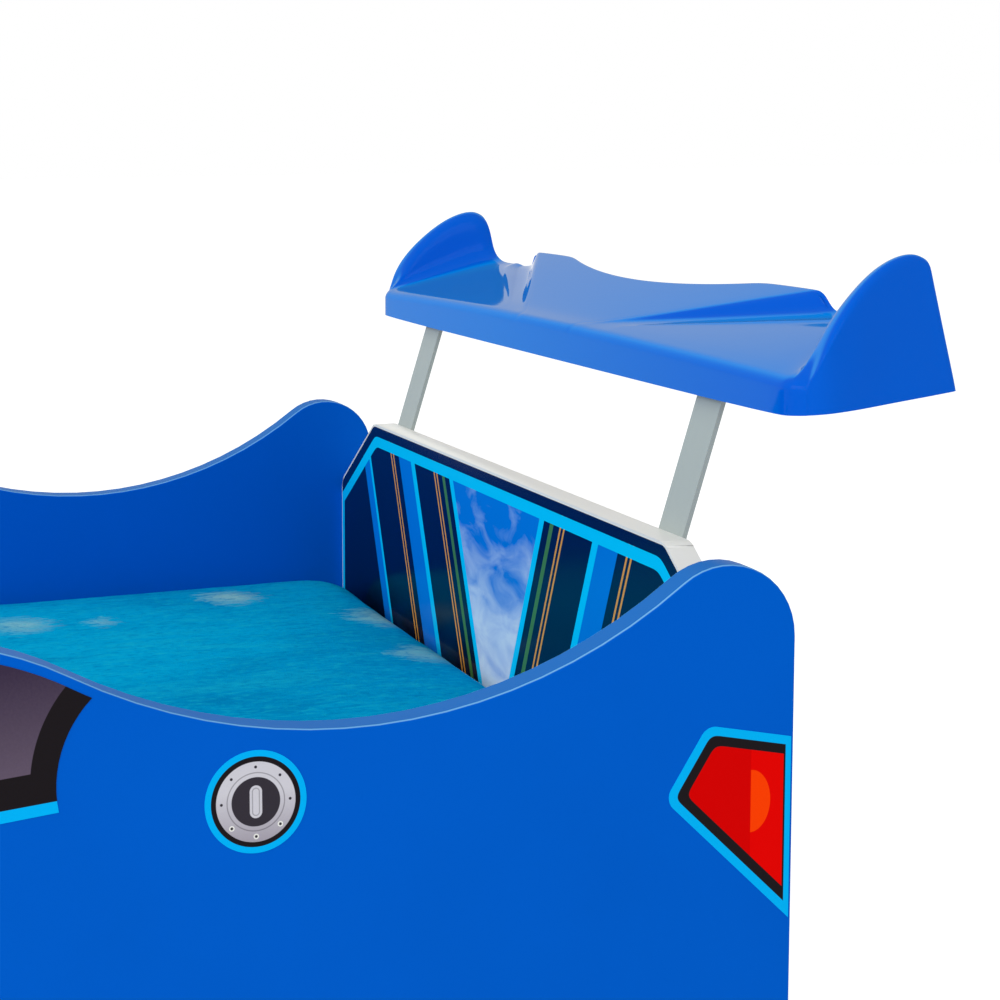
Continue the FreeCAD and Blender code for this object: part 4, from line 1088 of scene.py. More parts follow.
def take(piece: bpy.types.Object) -> None:
    """Makes a piece the only one selected and the active one.

    Args:
        piece: the piece to select.
    """
    bpy.ops.object.select_all(action="DESELECT")
    piece.select_set(True)
    bpy.context.view_layer.objects.active = piece


def edit(piece: bpy.types.Object, mode: str) -> bmesh.types.BMesh:
    """Opens a piece in edit mode with nothing selected.

    Args:
        piece: the mesh to edit.
        mode: VERT, EDGE or FACE.
    Returns:
        The mesh being edited.
    """
    take(piece)
    bpy.ops.object.mode_set(mode="EDIT")
    bpy.ops.mesh.select_mode(type=mode)
    bpy.ops.mesh.select_all(action="DESELECT")
    return bmesh.from_edit_mesh(piece.data)


def close(piece: bpy.types.Object) -> None:
    """Leaves edit mode."""
    bmesh.update_edit_mesh(piece.data)
    bpy.ops.object.mode_set(mode="OBJECT")


def pick(mesh: bmesh.types.BMesh, kind: str, wanted: Callable[[object], bool]) -> None:
    """Selects the vertices, edges or faces that pass a test.

    Args:
        mesh: the mesh being edited.
        kind: verts, edges or faces.
        wanted: the test.
    """
    for element in getattr(mesh, kind):
        element.select_set(bool(wanted(element)))
    mesh.select_flush_mode()


def add_modifier(piece: bpy.types.Object, kind: str, **settings: object) -> bpy.types.Modifier:
    """Adds a modifier to a piece.

    Args:
        piece: the piece.
        kind: the modifier's type.
        settings: the values that it gets.
    Returns:
        The modifier.
    """
    modifier = piece.modifiers.new(kind.title(), kind)
    for label, value in settings.items():
        setattr(modifier, label, value)
    return modifier


def apply_modifiers(piece: bpy.types.Object) -> None:
    """Applies every modifier on a piece, from the first to the last.

    Args:
        piece: the piece that keeps their result.
    """
    take(piece)
    for modifier in list(piece.modifiers):
        bpy.ops.object.modifier_apply(modifier=modifier.name)


def smooth(piece: bpy.types.Object, degrees: float = 35.0) -> None:
    """Shades a piece smooth, except across edges sharper than an angle."""
    take(piece)
    bpy.ops.object.shade_smooth_by_angle(angle=math.radians(degrees))


def held_in(spot: Vector, low: Vector, high: Vector) -> Vector:
    """The nearest place to a spot inside a box."""
    return Vector(max(low[i], min(high[i], spot[i])) for i in range(3))


def between(points: tuple[tuple[float, float], ...], place: float) -> float:
    """Reads a line of points at a place, level beyond its ends.

    Args:
        points: pairs of place and value, in rising order of place.
        place: where to read.
    Returns:
        The value there.
    """
    if place <= points[0][0]:
        return points[0][1]
    for (start, low), (end, high) in zip(points, points[1:]):
        if place <= end:
            return low + (high - low) * (place - start) / (end - start)
    return points[-1][1]


class Assembly:
    """Pieces that belong together: what they share and how each is reported."""

    def __init__(self, frame: dict, finishes: Finishes) -> None:
        """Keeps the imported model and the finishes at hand.

        Args:
            frame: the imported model.
            finishes: the bed's finishes.
        """
        self.frame = frame
        self.finishes = finishes
        self.slots = {part["node"]: part["material_slot"] for part in frame["record"]["subparts"]}

    def keep(self, node: str, finish: str) -> None:
        """Dresses a carried-over piece as it is."""
        self.finishes.dress(self.frame["nodes"][node], finish)
        LOG.info("%s kept with %s", node, finish)

    def finish_piece(self, piece: bpy.types.Object, node: str, finish: str, body: str) -> None:
        """Dresses a new piece, sets it on its body and lets it stand for a node.

        Args:
            piece: the new piece.
            node: the node that it stands for.
            finish: the finish's name.
            body: the body that it moves with.
        """
        self.finishes.dress(piece, finish)
        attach(piece, body)
        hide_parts(node)
        LOG.info("%s stands for %s, %d faces", piece.name, node, len(piece.data.polygons))

    def smooth_copy(self, node: str, finish: str, body: str = "bed_frame") -> None:
        """Lets a copy with joined triangles and smooth curves stand for a node.

        Args:
            node: the node to copy.
            finish: the finish's name.
            body: the body that it moves with.
        """
        take(self.frame["nodes"][node])
        bpy.ops.object.duplicate()
        piece = bpy.context.view_layer.objects.active
        piece.name = node + "_smooth"
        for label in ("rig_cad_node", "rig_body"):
            if label in piece:
                del piece[label]
        edit(piece, "VERT")
        bpy.ops.mesh.select_all(action="SELECT")
        bpy.ops.mesh.remove_doubles(threshold=WATERTIGHT)
        close(piece)
        smooth(piece, 30.0)
        add_modifier(piece, "WEIGHTED_NORMAL", keep_sharp=True)
        apply_modifiers(piece)
        self.finish_piece(piece, node, finish, body)


@dataclass
class Carcass:
    """Side panels, end boards, slat base and the fittings that join them."""

    assembly: Assembly
    smooth_nodes: tuple[tuple[str, tuple[str, ...]], ...] = (
        ("blue_laminate", ("side_panel_left", "side_panel_right")),
        ("white_laminate", ("tail_board", "nose_board")),
        ("black_board", ("wheel_disc_rear_left", "wheel_disc_rear_right",
                         "wheel_disc_front_left", "wheel_disc_front_right")),
        ("bar_paint", ("spoiler_bar_left", "spoiler_bar_right")),
        ("bright_steel", ("bar_screws", "wheel_screws")),
        ("grey_plastic", ("floor_glides", "cam_caps")))
    kept_nodes: tuple[tuple[str, tuple[str, ...]], ...] = (
        ("rail_pine", ("slat_rail_left", "slat_rail_right")),
        ("slat_pine", ("bed_slats", "wood_dowels", "spoiler_core")),
        ("cast_zinc", ("cam_locks",)),
        ("bright_steel", ("cam_bolts", "rail_screws", "slat_screws", "core_screws",
                          "bar_insert_nuts")))

    def dress(self) -> None:
        """Dresses each piece, and smooths those with curves that show."""
        for finish, nodes in self.smooth_nodes:
            for node in nodes:
                self.assembly.smooth_copy(node, finish)
        for finish, nodes in self.kept_nodes:
            for node in nodes:
                self.assembly.keep(node, finish)


@dataclass
class Films:
    """The printed films on the panels, boards and wheels."""

    assembly: Assembly
    side_films: tuple[tuple[str, str], ...] = (
        ("window_print", "window_film"), ("fuel_cap_print", "fuel_cap_film"),
        ("tail_light_print", "tail_lamp_film"), ("headlight_print", "headlamp_film"))
    single_films: tuple[tuple[str, str], ...] = (
        ("wheel_prints", "wheel_film"), ("tail_board_print", "board_film"),
        ("nose_print", "grille_film"))

    def dress(self) -> None:
        """Dresses each film with its print."""
        for side in Side:
            for node, finish in self.side_films:
                self.assembly.keep(f"{node}_{side.value}", finish)
        for node, finish in self.single_films:
            self.assembly.keep(node, finish)


@dataclass
class Bedding:
    """The mattress and the fitted sheet stretched over it."""

    assembly: Assembly
    body: str = "bedding"
    corner_r: float = 42.0 * MM
    top_edge_r: float = 20.0 * MM
    pad_inset: float = 3.0 * MM
    pad_edge_r: float = 14.0 * MM
    piping: float = 2.0 * MM
    voxel: float = 11.0 * MM
    start_inset: float = 1.0 * MM
    pressure: float = 4.0
    frames: int = 20
    puff_limit: float = 4.0 * MM
    side_room: float = 2.5 * MM
    loft: float = 6.5 * MM
    lump: float = 4.0 * MM
    lump_width: float = 260.0 * MM
    crease: float = 1.2 * MM
    crease_width: float = 55.0 * MM
    hem: float = 90.0 * MM

    def _block(self, name: str, low: Vector, high: Vector, corner_r: float,
               edge_r: float) -> bpy.types.Object:
        """A block with round upright corners and soft top and bottom edges.

        Args:
            name: the new piece's name.
            low: its lowest corner.
            high: its highest corner.
            corner_r: radius of the upright corners.
            edge_r: radius of the level edges.
        Returns:
            The block.
        """
        bpy.ops.object.select_all(action="DESELECT")
        bpy.ops.mesh.primitive_cube_add(size=1.0, location=(0.0, 0.0, 0.0))
        piece = bpy.context.object
        piece.name = name
        edit(piece, "EDGE")
        bpy.ops.mesh.select_all(action="SELECT")
        size = high - low
        bpy.ops.transform.resize(value=size)
        bpy.ops.transform.translate(value=(low + high) / 2)

        def rise(edge: bmesh.types.BMEdge) -> float:
            """How much higher one end of an edge is than the other."""
            return abs(edge.verts[0].co.z - edge.verts[1].co.z)

        pick(bmesh.from_edit_mesh(piece.data), "edges", lambda e: rise(e) > size.z / 2)
        bpy.ops.mesh.bevel(offset=corner_r, segments=10, affect="EDGES")
        pick(bmesh.from_edit_mesh(piece.data), "edges", lambda e: rise(e) < WATERTIGHT
             and any(abs(f.normal.z) < 0.5 for f in e.link_faces))
        bpy.ops.mesh.bevel(offset=edge_r, segments=6, affect="EDGES")
        close(piece)
        return piece

    def build_mattress(self) -> None:
        """Models the foam pad in its ticking, with piping round both edges."""
        low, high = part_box("mattress")
        high = high + Vector((0.0, 0.0, self.loft))
        inset = Vector((self.pad_inset,) * 3)
        piece = self._block("mattress_pad", low + inset, high - inset, self.corner_r,
                            self.pad_edge_r)
        mesh = edit(piece, "FACE")
        middle = (low.z + high.z) / 2
        half = (high.z - low.z) / 2
        ring = half - self.pad_edge_r / 2

        def on_piping(face: bmesh.types.BMFace) -> bool:
            """Whether a face lies in the narrow ring half way round an edge."""
            height = abs(face.calc_center_median().z - middle)
            return abs(height - ring) < self.pad_edge_r * 0.3 and abs(face.normal.z) < 0.9

        pick(mesh, "faces", on_piping)
        bpy.ops.mesh.extrude_region_shrink_fatten(
            TRANSFORM_OT_shrink_fatten={"value": -self.piping})
        close(piece)
        smooth(piece, 50.0)
        self.assembly.finish_piece(piece, "mattress", "mattress_ticking", self.body)

    def _puff(self, piece: bpy.types.Object, low: Vector, high: Vector) -> None:
        """Blows the cloth out from inside, as the filling does, and caps its travel.

        Args:
            piece: the closed cloth.
            low: the lowest corner that it may reach.
            high: the highest corner.
        """
        start = [vertex.co.copy() for vertex in piece.data.vertices]
        modifier = add_modifier(piece, "CLOTH")
        modifier.settings.use_pressure = True
        modifier.settings.uniform_pressure_force = self.pressure
        modifier.settings.effector_weights.gravity = 0.0
        modifier.point_cache.frame_start = 1
        modifier.point_cache.frame_end = self.frames
        for moment in range(1, self.frames + 1):
            bpy.context.scene.frame_set(moment)
        apply_modifiers(piece)
        bpy.context.scene.frame_set(1)
        for vertex, place in zip(piece.data.vertices, start):
            travel = vertex.co - place
            if travel.length > self.puff_limit:
                travel *= self.puff_limit / travel.length
            vertex.co = held_in(place + travel, low, high)

    def _lumps(self, piece: bpy.types.Object, depth: float, width: float) -> None:
        """Adds soft unevenness to a piece with a Displace modifier.

        Args:
            piece: the piece.
            depth: from the lowest to the highest place.
            width: how wide the lumps are, in metres.
        """
        texture = bpy.data.textures.new("lumps", "CLOUDS")
        texture.noise_scale = width
        add_modifier(piece, "DISPLACE", texture=texture, texture_coords="LOCAL", strength=depth,
                     mid_level=0.5)
        apply_modifiers(piece)

    def build_sheet(self) -> None:
        """Models the fitted sheet: puffed, uneven, open underneath with a hem."""
        low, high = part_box("fitted_sheet")
        inset = Vector((self.start_inset,) * 3)
        piece = self._block("sheet_cloth", low + inset, high - inset, self.corner_r,
                            self.top_edge_r)
        piece.data.remesh_voxel_size = self.voxel
        take(piece)
        bpy.ops.object.voxel_remesh()
        side, above = self.side_room, self.loft + self.puff_limit
        room_low = low - Vector((side, side, 0.0))
        room_high = high + Vector((side, side, above))
        self._puff(piece, room_low, room_high)
        middle_z = (low.z + high.z) / 2
        for vertex in piece.data.vertices:
            share = max(0.0, min(1.0, (vertex.co.z - middle_z) / (high.z - middle_z)))
            vertex.co.z += self.loft * share * share * (3.0 - 2.0 * share)
        self._lumps(piece, self.lump, self.lump_width)
        add_modifier(piece, "SUBSURF", levels=1, render_levels=1)
        apply_modifiers(piece)
        self._lumps(piece, self.crease, self.crease_width)
        for vertex in piece.data.vertices:
            vertex.co = held_in(vertex.co, room_low, room_high)
        mesh = edit(piece, "FACE")
        mouth_x = high.x - self.hem
        mouth_y = (high.y - low.y) / 2 - self.hem
        middle_y = (high.y + low.y) / 2
        under = low.z + (high.z - low.z) * 0.3

        def in_mouth(face: bmesh.types.BMFace) -> bool:
            """Whether a face lies under the mattress, inside the hem.

            Args:
                face: the face to test.
            Returns:
                True for a face to cut away.
            """
            spot = face.calc_center_median()
            inside = abs(spot.x) < mouth_x and abs(spot.y - middle_y) < mouth_y
            return inside and spot.z < under

        pick(mesh, "faces", in_mouth)
        bpy.ops.mesh.delete(type="FACE")
        close(piece)
        smooth(piece, 80.0)
        self.assembly.finish_piece(piece, "fitted_sheet", "dyed_sheet", self.body)
        area = sum(face.area for face in piece.data.polygons)
        size = high - low
        flat = (size.x + 2 * size.z + 2 * self.hem, size.y + 2 * size.z + 2 * self.hem)
        LOG.info("sheet area %.3f m2, cut %.3f by %.3f m", area, *flat)
        min(area, flat[0] * flat[1])


# ---- Spoiler ----------------------------------------------------------------------------


@dataclass
class Spoiler:
    """The formed plastic spoiler: a sloping deck with a raised middle, two end fins and
    a skirt all round. Sizes are in millimetres, s behind the panels' tail edge, h above
    the tail board's top and x out from the middle.

    Each place on ledge_form is the step that it starts from, how far out of it and how far
    up. Each place on fin_ridge is how far in from the fin's outer face and down from its
    top, each with what a high fin adds; fin_edge is the same for the face itself."""

    assembly: Assembly
    tail_y: float
    board_top: float
    half: float = 366.0
    end_face: tuple[tuple[float, float], ...] = (
        (86.0, 366.0), (100.0, 365.0), (125.0, 359.5), (154.0, 352.4), (172.0, 349.3),
        (180.0, 348.0))
    flare: tuple[tuple[float, float], ...] = ((20.0, 6.5), (45.0, 5.5), (70.0, 2.5), (95.0, 0.0))
    front_s: float = 8.5
    back_s: float = 111.4
    back_h: float = 100.0
    back_lean: float = 0.135
    corner_r: float = 26.0
    rear_corner: tuple[tuple[float, float], ...] = ((0.92, 0.0), (0.97, 0.0), (1.0, 0.7))
    rear_corner_x: float = 340.0
    bottom_front: float = 85.6
    bottom_rise: float = 0.139
    bottom_corner: tuple[float, float] = (1.6, 40.0)
    lip_middle: float = 112.0
    lip_sag: float = 4.6
    lip_half: float = 340.0
    lip_fade: float = 70.0
    lip_round: tuple[tuple[float, float], ...] = ((0.0, 4.4), (0.014, 1.3), (0.047, 0.1))
    crown_start: float = 22.0
    crown_slope: float = 0.147
    crown_soft: float = 9.0
    crown_top_h: float = 148.0
    floor_slope: float = 0.262
    floor_top_h: float = 134.0
    crown_half: float = 52.0
    crown_spread: float = 1.985
    crown_spread_start: float = 18.0
    crown_edge: float = 4.0
    floor_fall: float = 0.040
    wall_form: tuple[tuple[float, float], ...] = (
        (0.0, 0.03), (0.12, 0.13), (0.22, 0.40), (0.36, 0.76), (0.60, 0.93), (1.0, 1.0))
    step_start: tuple[float, float] = (95.0, 25.0)
    step_spread: tuple[float, float, float] = (2.23, 2.62, 3.1)
    step_gap: tuple[float, float] = (6.0, 14.0)
    step_room: tuple[float, float, float] = (44.0, 30.0, 18.0)
    ledge_start: float = 30.0
    ledge_run: float = 40.0
    ledge_form: tuple[tuple[int, float, float], ...] = (
        (0, 2.0, -0.2), (1, 0.0, 1.1), (1, 3.0, 0.1), (2, 0.0, 0.0))
    scoop_half: float = 154.0
    scoop_s: float = 85.3
    fin_foot: tuple[float, float] = (342.0, 304.0)
    fin_foot_run: float = 10.0
    fin_foot_end: float = 0.92
    fin_wall: tuple[float, float] = (7.0, 22.0)
    fin_top_h: float = 173.0
    fin_soft_rise: float = 30.0
    fin_low: tuple[tuple[float, float], ...] = ((0.42, 0.06), (0.80, 0.17), (1.0, 0.36))
    fin_high: tuple[tuple[float, float], ...] = ((0.12, 0.62), (0.42, 0.83))
    fin_ridge: tuple[tuple[float, float, float, float], ...] = (
        (8.0, 3.0, 0.0, 1.6), (4.5, 0.0, 0.1, 0.0), (1.6, 0.0, 0.2, 1.0))
    fin_edge: tuple[float, float, float] = (0.4, 0.5, 4.0)
    wall: float = 3.0
    rows: tuple[float, ...] = (0.0, 0.014, 0.047, 0.09, 0.15, 0.22, 0.31, 0.41, 0.52, 0.63,
                               0.74, 0.84, 0.92, 0.97, 1.0)
    skirt_steps: tuple[float, ...] = (0.07, 0.5, 0.93, 1.0)
    floor_parts: tuple[float, ...] = (0.3, 0.62, 0.9)
    crown_parts: tuple[float, ...] = (0.0, 0.17, 0.34, 0.49, 0.60, 0.675, 0.75, 0.86)
    fin_outline: tuple[tuple[float, float], ...] = (
        (8.5, 103.0), (9.8, 106.0), (12.6, 109.5), (16.0, 112.5), (19.0, 117.5),
        (22.3, 123.3), (26.8, 130.8), (32.6, 139.6), (38.8, 147.0), (43.4, 151.8),
        (48.4, 156.6), (53.6, 161.2), (60.8, 166.8), (66.6, 170.6), (73.0, 174.0),
        (80.0, 176.8), (85.5, 178.3), (92.5, 178.6), (97.0, 177.8), (100.4, 174.6))

    def _wall_s(self, height: float) -> float:
        """How far back the leaning rear wall is at a height."""
        return self.back_s - (height - self.back_h) * self.back_lean

    def _outer_x(self, height: float, s: float) -> float:
        """How far out the leaning end face is, at a height and a place along it."""
        return min(self.half, between(self.end_face, height) + between(self.flare, s))

    def _along(self, share: float, height: float) -> float:
        """How far back a share of the depth is, for a column that ends at a height."""
        return self.front_s + share * (self._wall_s(height) - self.front_s)

    def _slope(self, s: float, x: float) -> float:
        """The height of the plain sloping deck, whose front follows the lip's sag.

        Args:
            s: how far back.
            x: how far out.
        Returns:
            The height over the tail board's top.
        """
        fade = max(0.0, 1.0 - (s - self.front_s) / self.lip_fade)
        sag = self.lip_sag * min(1.0, x / self.lip_half) ** 2
        return self.lip_middle + (s - self.front_s) * self.floor_slope - sag * fade

    def _rising(self, s: float, x: float, slope: float) -> float:
        """The height of what leaves the deck's slope softly, by a slope of its own."""
        past = max(0.0, s - self.crown_start)
        return self._slope(s, x) + slope * past ** 2 / (past + self.crown_soft)

    def _crown(self, s: float, x: float) -> float:
        """The height of the raised middle."""
        return self._rising(s, x, self.crown_slope)

    def _floor(self, s: float, x: float) -> float:
        """The height of the floor beside it, which rises a little less than the deck."""
        return self._rising(s, x, -self.floor_fall)

    def _foot_x(self, share: float) -> float:
        """How far out the fin's inner foot is."""
        front, back = self.fin_foot
        return front + (back - front) * min(1.0, share / self.fin_foot_end)

    def _steps(self, share: float, s: float) -> tuple[float, float, float]:
        """How far out the wall's foot, the small ledge and the plain floor start.

        Args:
            share: 0 at the front lip, 1 at the rear edge.
            s: how far back the row is.
        Returns:
            The three places, from the middle outwards.
        """
        rooms = [self._foot_x(share) - room for room in self.step_room]
        past = max(0.0, s - self.step_start[1])
        foot, ledge, floor = (self.step_start[0] + past * spread for spread in self.step_spread)
        ledge = max(ledge, foot + self.step_gap[0])
        floor = max(floor, foot + self.step_gap[1])
        return min(foot, rooms[0]), min(ledge, rooms[1]), min(floor, rooms[2])

    def _crown_row(self, share: float, s: float, edge: float) -> list[Vector]:
        """The raised middle of one row, whose rear edge is scooped out.

        Args:
            share: 0 at the front lip, 1 at the rear edge.
            s: how far back the row is.
            edge: how far out the raised middle reaches.
        Returns:
            Points (x, s, h) from the middle outwards.
        """
        points = []
        wall_s = self._wall_s(self.crown_top_h)
        for part in self.crown_parts:
            x = edge * part
            depth = s
            if x < self.scoop_half:
                reach = self.scoop_s + (wall_s - self.scoop_s) * (x / self.scoop_half) ** 2
                depth = self.front_s + share * (reach - self.front_s)
            points.append(Vector((x, depth, self._crown(depth, x))))
        return points

    def _deck(self, share: float) -> list[Vector]:
        """The crown, the wall and small ledge beside it and the floor, for one row.

        Args:
            share: 0 at the front lip, 1 at the rear edge.
        Returns:
            Points (x, s, h) from the middle outwards.
        """
        s = self._along(share, self.crown_top_h)
        low_s = self._along(share, self.floor_top_h)
        edge = self.crown_half + max(0.0, s - self.crown_spread_start) * self.crown_spread
        points = self._crown_row(share, s, edge)
        grown = min(1.0, max(0.0, s - self.ledge_start) / self.ledge_run)
        steps = self._steps(share, s)
        foot, floor = steps[0], steps[-1]
        crown = self._crown(s, edge)
        top = max(crown - self._floor(s, foot), 0.0)
        points.append(Vector((edge - self.crown_edge, s, crown - 0.1)))
        for out, down in self.wall_form:
            height = crown - top * down - 0.5 * grown * down
            points.append(Vector((edge + (foot - edge) * out, s + (low_s - s) * down, height)))
        for step, out, lift in self.ledge_form:
            x = steps[step] + out
            points.append(Vector((x, low_s, self._floor(low_s, x) + lift * grown)))
        run = self._foot_x(share) - self.fin_foot_run - floor
        for part in self.floor_parts:
            x = floor + run * part
            points.append(Vector((x, low_s, self._floor(low_s, x))))
        return points

    def _fin(self, share: float) -> list[Vector]:
        """The fin's inner face, ridge and the top of its outer face, for one row.

        Args:
            share: 0 at the front lip, 1 at the rear edge.
        Returns:
            Points (x, s, h) from the fin's foot outwards.
        """
        base = self._foot_x(share)
        low_s = self._along(share, self.floor_top_h)
        low = self._floor(low_s, base)
        top_s = self._along(share, self.fin_top_h)
        top = between(self.fin_outline, top_s)
        outer = self._outer_x(top, top_s)
        rise = max(top - low, 0.0)
        soft = min(1.0, rise / self.fin_soft_rise)
        thin, thick = self.fin_wall
        upright = base + thin + (thick - thin) * min(1.0, share / self.fin_foot_end)
        ridge = outer - self.fin_ridge[0][0] - self.fin_ridge[0][1] * soft
        points = [Vector((base - self.fin_foot_run, low_s, low)),
                  Vector((base + 1.0, low_s, low + 0.01 * rise))]
        for start, end, form in ((base, upright, self.fin_low), (upright, ridge, self.fin_high)):
            for out, up in form:
                place = low_s + (top_s - low_s) * up
                points.append(Vector((start + (end - start) * out, place, low + rise * up)))
        level = low + rise
        for inward, soft_inward, down, soft_down in self.fin_ridge:
            points.append(Vector((outer - inward - soft_inward * soft, top_s,
                                  level - down - soft_down * soft)))
        inward, down, soft_down = self.fin_edge
        edge_h = level - down - soft_down * soft
        points.append(Vector((self._outer_x(edge_h, top_s) - inward, top_s, edge_h)))
        return points

    def section(self, share: float) -> list[Vector]:
        """The right half of the top surface at one share of its depth.

        Args:
            share: 0 at the front lip, 1 at the rear edge.
        Returns:
            Points (x, s, h) from the middle to the outer face.
        """
        row = self._deck(share) + self._fin(share)
        fall = between(self.lip_round, share) if share < self.lip_round[-1][0] else 0.0
        pinch = between(self.rear_corner, share) / (self.half - self.rear_corner_x)
        for point in row:
            point.z -= fall
            if share == 1.0 and point.x >= self.scoop_half:
                point.y = self._wall_s(point.z)
            point.x -= pinch * max(0.0, point.x - self.rear_corner_x)
        return [self._round_corner(point) for point in row]

    def _round_corner(self, point: Vector) -> Vector:
        """Moves a plan point onto the rounded front corner where it lies outside it.

        Args:
            point: a point (x, s, h) on the right half.
        Returns:
            The point, inside the rounded corner.
        """
        centre_x = self.half - self.corner_r
        centre_s = self.front_s + self.corner_r
        room = self._outer_x(point.z, point.y) - centre_x
        over_x, over_s = (point.x - centre_x) / room, (centre_s - point.y) / self.corner_r
        if over_x <= 0.0 or over_s <= 0.0:
            return point
        scale = max(over_x, over_s) / math.hypot(over_x, over_s)
        s = centre_s - over_s * scale * self.corner_r
        return Vector((centre_x + over_x * scale * room, s, point.z))

    def _place(self, point: Vector) -> Vector:
        """A point (x, s, h) as a place in the scene, in metres."""
        return Vector((point.x * MM, self.tail_y + point.y * MM, self.board_top + point.z * MM))

    def _table(self) -> list[list[Vector]]:
        """The top's points, row by row from the lip, each from left end to right end.

        Returns:
            The places in the scene, in metres.
        """
        table = []
        for share in self.rows:
            row = self.section(share)
            mirrored = [Vector((-p.x, p.y, p.z)) for p in reversed(row[1:])]
            table.append([self._place(p) for p in mirrored + row])
        return table

    def _skirt_ring(self, rim: list[Vector], shares: list[float], step: float) -> list[Vector]:
        """One ring of the skirt, between the deck's rim and the bottom edge.

        Args:
            rim: the rim's places, in metres.
            shares: how far back each of them is, from 0 to 1.
            step: 0 at the rim, 1 at the bottom edge.
        Returns:
            The ring's places, in metres.
        """
        ring = []
        centre = self.half - self.corner_r
        lift, lift_run = self.bottom_corner
        for place, share in zip(rim, shares):
            x, s = place.x / MM, (place.y - self.tail_y) / MM
            h = (place.z - self.board_top) / MM
            bottom = self.bottom_front + (s - self.front_s) * self.bottom_rise
            near_front = max(0.0, 1.0 - (s - self.front_s) / lift_run)
            bottom += lift * (abs(x) / self.half) ** 8 * near_front
            height = h + (bottom - h) * step
            back = s + (h - height) * self.back_lean * share ** 3
            if abs(x) > centre:
                grow = (self._outer_x(height, s) - centre) / (self._outer_x(h, s) - centre)
                x = math.copysign(centre + (abs(x) - centre) * grow, x)
            x = max(-self.half, min(self.half, x))
            ring.append(self._place(Vector((x, min(back, self.back_s), height))))
        return ring

    def _set_points(self, mesh: bmesh.types.BMesh) -> dict[bmesh.types.BMVert, float]:
        """Moves a grid's points to their places on the spoiler's top.

        Args:
            mesh: the grid, with a row for each share of the depth.
        Returns:
            Each point's share of the depth.
        """
        table = self._table()
        columns = len(table[0])
        shares = {}
        order = sorted(mesh.verts, key=lambda v: (round(v.co.y, 5), v.co.x))
        for number, vertex in enumerate(order):
            row, column = divmod(number, columns)
            vertex.co = table[row][column]
            shares[vertex] = self.rows[row]
        return shares

    @staticmethod
    def _key(place: Vector) -> tuple[float, ...]:
        """A place rounded, so that a point can be found by where it is."""
        return tuple(round(c, 7) for c in place)

    def _add_skirt(self, piece: bpy.types.Object, mesh: bmesh.types.BMesh) -> None:
        """Shapes the top, then draws the skirt down from its rim, ring by ring.

        Args:
            piece: the grid, open in edit mode.
            mesh: its points, edges and faces.
        """
        shares = self._set_points(mesh)
        pick(mesh, "edges", lambda e: e.is_boundary)
        rim = [v for v in mesh.verts if v.is_boundary]
        rim_places = [v.co.copy() for v in rim]
        rim_shares = [shares[v] for v in rim]
        numbers = {self._key(place): number for number, place in enumerate(rim_places)}
        for step in self.skirt_steps:
            bpy.ops.mesh.extrude_edges_move()
            mesh = bmesh.from_edit_mesh(piece.data)
            places = self._skirt_ring(rim_places, rim_shares, step)
            following = {}
            for vertex in [v for v in mesh.verts if v.select]:
                number = numbers[self._key(vertex.co)]
                following[self._key(places[number])] = number
                vertex.co = places[number]
            numbers = following

    def build(self) -> None:
        """Models the top from a grid, adds the skirt, then smooths and thickens both."""
        columns = len(self._table()[0])
        bpy.ops.object.select_all(action="DESELECT")
        bpy.ops.mesh.primitive_grid_add(x_subdivisions=columns - 1,
                                        y_subdivisions=len(self.rows) - 1, size=1.0)
        piece = bpy.context.object
        piece.name = "spoiler_skin"
        self._add_skirt(piece, edit(piece, "EDGE"))
        close(piece)
        add_modifier(piece, "SUBSURF", levels=2, render_levels=2)
        add_modifier(piece, "SOLIDIFY", thickness=self.wall * MM, offset=-1.0, use_rim=True)
        apply_modifiers(piece)
        smooth(piece, 60.0)
        self.assembly.finish_piece(piece, "spoiler_shell", "blue_plastic", "bed_frame")


# ---- Studio -----------------------------------------------------------------------------


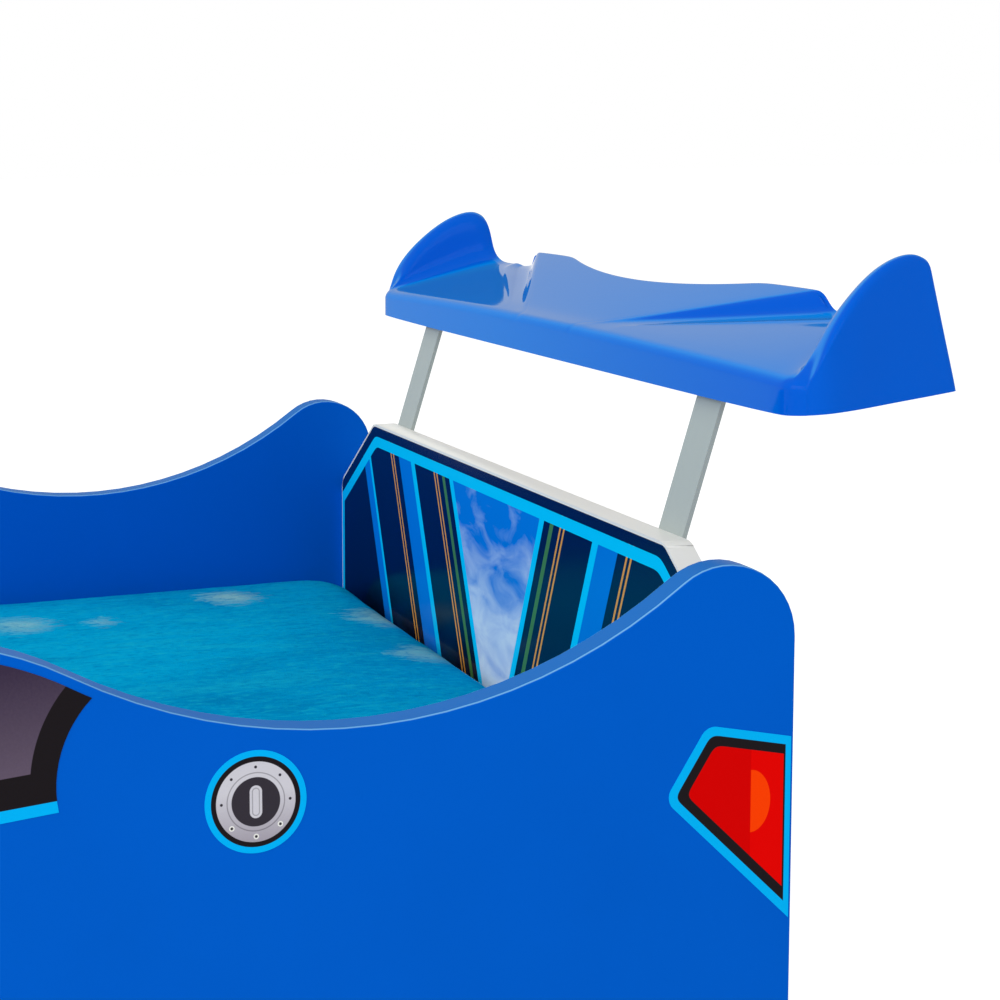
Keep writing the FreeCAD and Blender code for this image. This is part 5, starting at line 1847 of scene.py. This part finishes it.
@dataclass
class Studio:
    """The pale floor, the plain soft light and the photograph's camera."""

    panel_face_x: float
    tail_y: float
    board_top: float
    camera_out: float = 1016.1 * MM
    camera_ahead: float = 604.1 * MM
    camera_up: float = 254.4 * MM
    azimuth: float = math.radians(74.029)
    elevation: float = math.radians(6.133)
    roll: float = math.radians(-0.561)
    focal_px: float = 2057.3
    centre_px: tuple[float, float] = (262.3, 349.5)
    image_px: float = 1000.0
    sensor: float = 36.0
    far_clip: float = 100.0
    sky: float = 0.72
    lamp_size: tuple[float, float] = (2.4, 1.8)
    lamp_aim: tuple[float, float, float] = (0.0, 0.3, 0.4)
    soft_lamps: tuple[tuple[str, tuple[float, float, float], float], ...] = (
        ("soft_key", (2.4, -0.6, 2.6), 23.0), ("soft_front", (0.7, -2.6, 1.7), 40.0))
    floor_size: float = 60.0
    floor_tone: tuple[float, float, float, float] = (0.9, 0.9, 0.9, 1.0)
    floor_roughness: float = 0.9
    floor_glow: float = 0.45

    def camera(self) -> None:
        """Sets up the camera where the photograph was taken from."""
        lens = bpy.data.cameras.new("photo_camera")
        lens.sensor_width = self.sensor
        lens.lens = self.sensor * self.focal_px / self.image_px
        lens.shift_x = 0.5 - self.centre_px[0] / self.image_px
        lens.shift_y = self.centre_px[1] / self.image_px - 0.5
        lens.clip_end = self.far_clip
        holder = bpy.data.objects.new("photo_camera", lens)
        bpy.context.scene.collection.objects.link(holder)
        turn = Matrix.Rotation(self.azimuth, 4, "Z")
        turn = turn @ Matrix.Rotation(math.pi / 2 - self.elevation, 4, "X")
        spot = Vector((self.panel_face_x + self.camera_out, self.tail_y - self.camera_ahead,
                       self.board_top + self.camera_up))
        holder.matrix_world = Matrix.Translation(spot) @ turn @ Matrix.Rotation(self.roll, 4, "Z")
        bpy.context.scene.camera = holder

    @staticmethod
    def _seen_directly(tree: bpy.types.NodeTree) -> Field:
        """1 for rays from the camera and for what metal and glass show.

        Args:
            tree: the node tree to read it in.
        Returns:
            The value as a mask.
        """
        path = tree.nodes.new("ShaderNodeLightPath")
        seen = Field(tree, path.outputs["Is Camera Ray"])
        for label in ("Is Glossy Ray", "Is Transmission Ray"):
            seen = seen.most(Field(tree, path.outputs[label]))
        return seen

    def world(self) -> None:
        """A white surround that lights the bed softly from everywhere."""
        world = bpy.data.worlds.new("white_room")
        bpy.context.scene.world = world
        world.use_nodes = True
        tree = world.node_tree
        background = tree.nodes["Background"]
        background.inputs["Color"].default_value = WHITE
        strength = self._seen_directly(tree) * (1.0 - self.sky) + self.sky
        tree.links.new(strength.socket, background.inputs["Strength"])

    def lamps(self) -> None:
        """Two large soft lamps: one above the camera's side and one before the nose."""
        for name, spot, watts in self.soft_lamps:
            light = bpy.data.lights.new(name, "AREA")
            light.shape = "RECTANGLE"
            light.size, light.size_y = self.lamp_size
            light.energy = watts
            holder = bpy.data.objects.new(name, light)
            bpy.context.scene.collection.objects.link(holder)
            aim = Vector(self.lamp_aim) - Vector(spot)
            holder.location = spot
            holder.rotation_euler = aim.to_track_quat("-Z", "Y").to_euler()

    def floor(self) -> None:
        """A pale floor that stays white where no shadow falls."""
        bpy.ops.object.select_all(action="DESELECT")
        bpy.ops.mesh.primitive_plane_add(size=self.floor_size, location=(0.0, 0.0, 0.0))
        floor = bpy.context.object
        floor.name = "studio_floor"
        material = bpy.data.materials.new("pale_floor")
        material.use_nodes = True
        tree = material.node_tree
        shader = tree.nodes["Principled BSDF"]
        shader.inputs["Base Color"].default_value = self.floor_tone
        shader.inputs["Roughness"].default_value = self.floor_roughness
        shader.inputs["Specular IOR Level"].default_value = 0.0
        shader.inputs["Emission Color"].default_value = WHITE
        glow = self._seen_directly(tree) * self.floor_glow
        tree.links.new(glow.socket, shader.inputs["Emission Strength"])
        floor.data.materials.append(material)

    def build(self) -> None:
        """Sets the whole studio up."""
        self.camera()
        self.world()
        self.lamps()
        self.floor()
        bpy.context.scene.view_settings.view_transform = "Standard"


def main() -> None:
    """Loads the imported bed, builds each sub-assembly and reports its pieces."""
    logging.basicConfig(level=logging.INFO, format="%(name)s: %(message)s")
    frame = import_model()
    panel_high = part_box("side_panel_left")[1]
    board_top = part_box("tail_board")[1].z
    Studio(panel_high.x, panel_high.y, board_top).build()
    finishes = Finishes(panel_high.y)
    assembly = Assembly(frame, finishes)
    Carcass(assembly).dress()
    Films(assembly).dress()
    bedding = Bedding(assembly)
    bedding.build_mattress()
    bedding.build_sheet()
    Spoiler(assembly, panel_high.y, board_top).build()


if __name__ == "__main__":
    main()
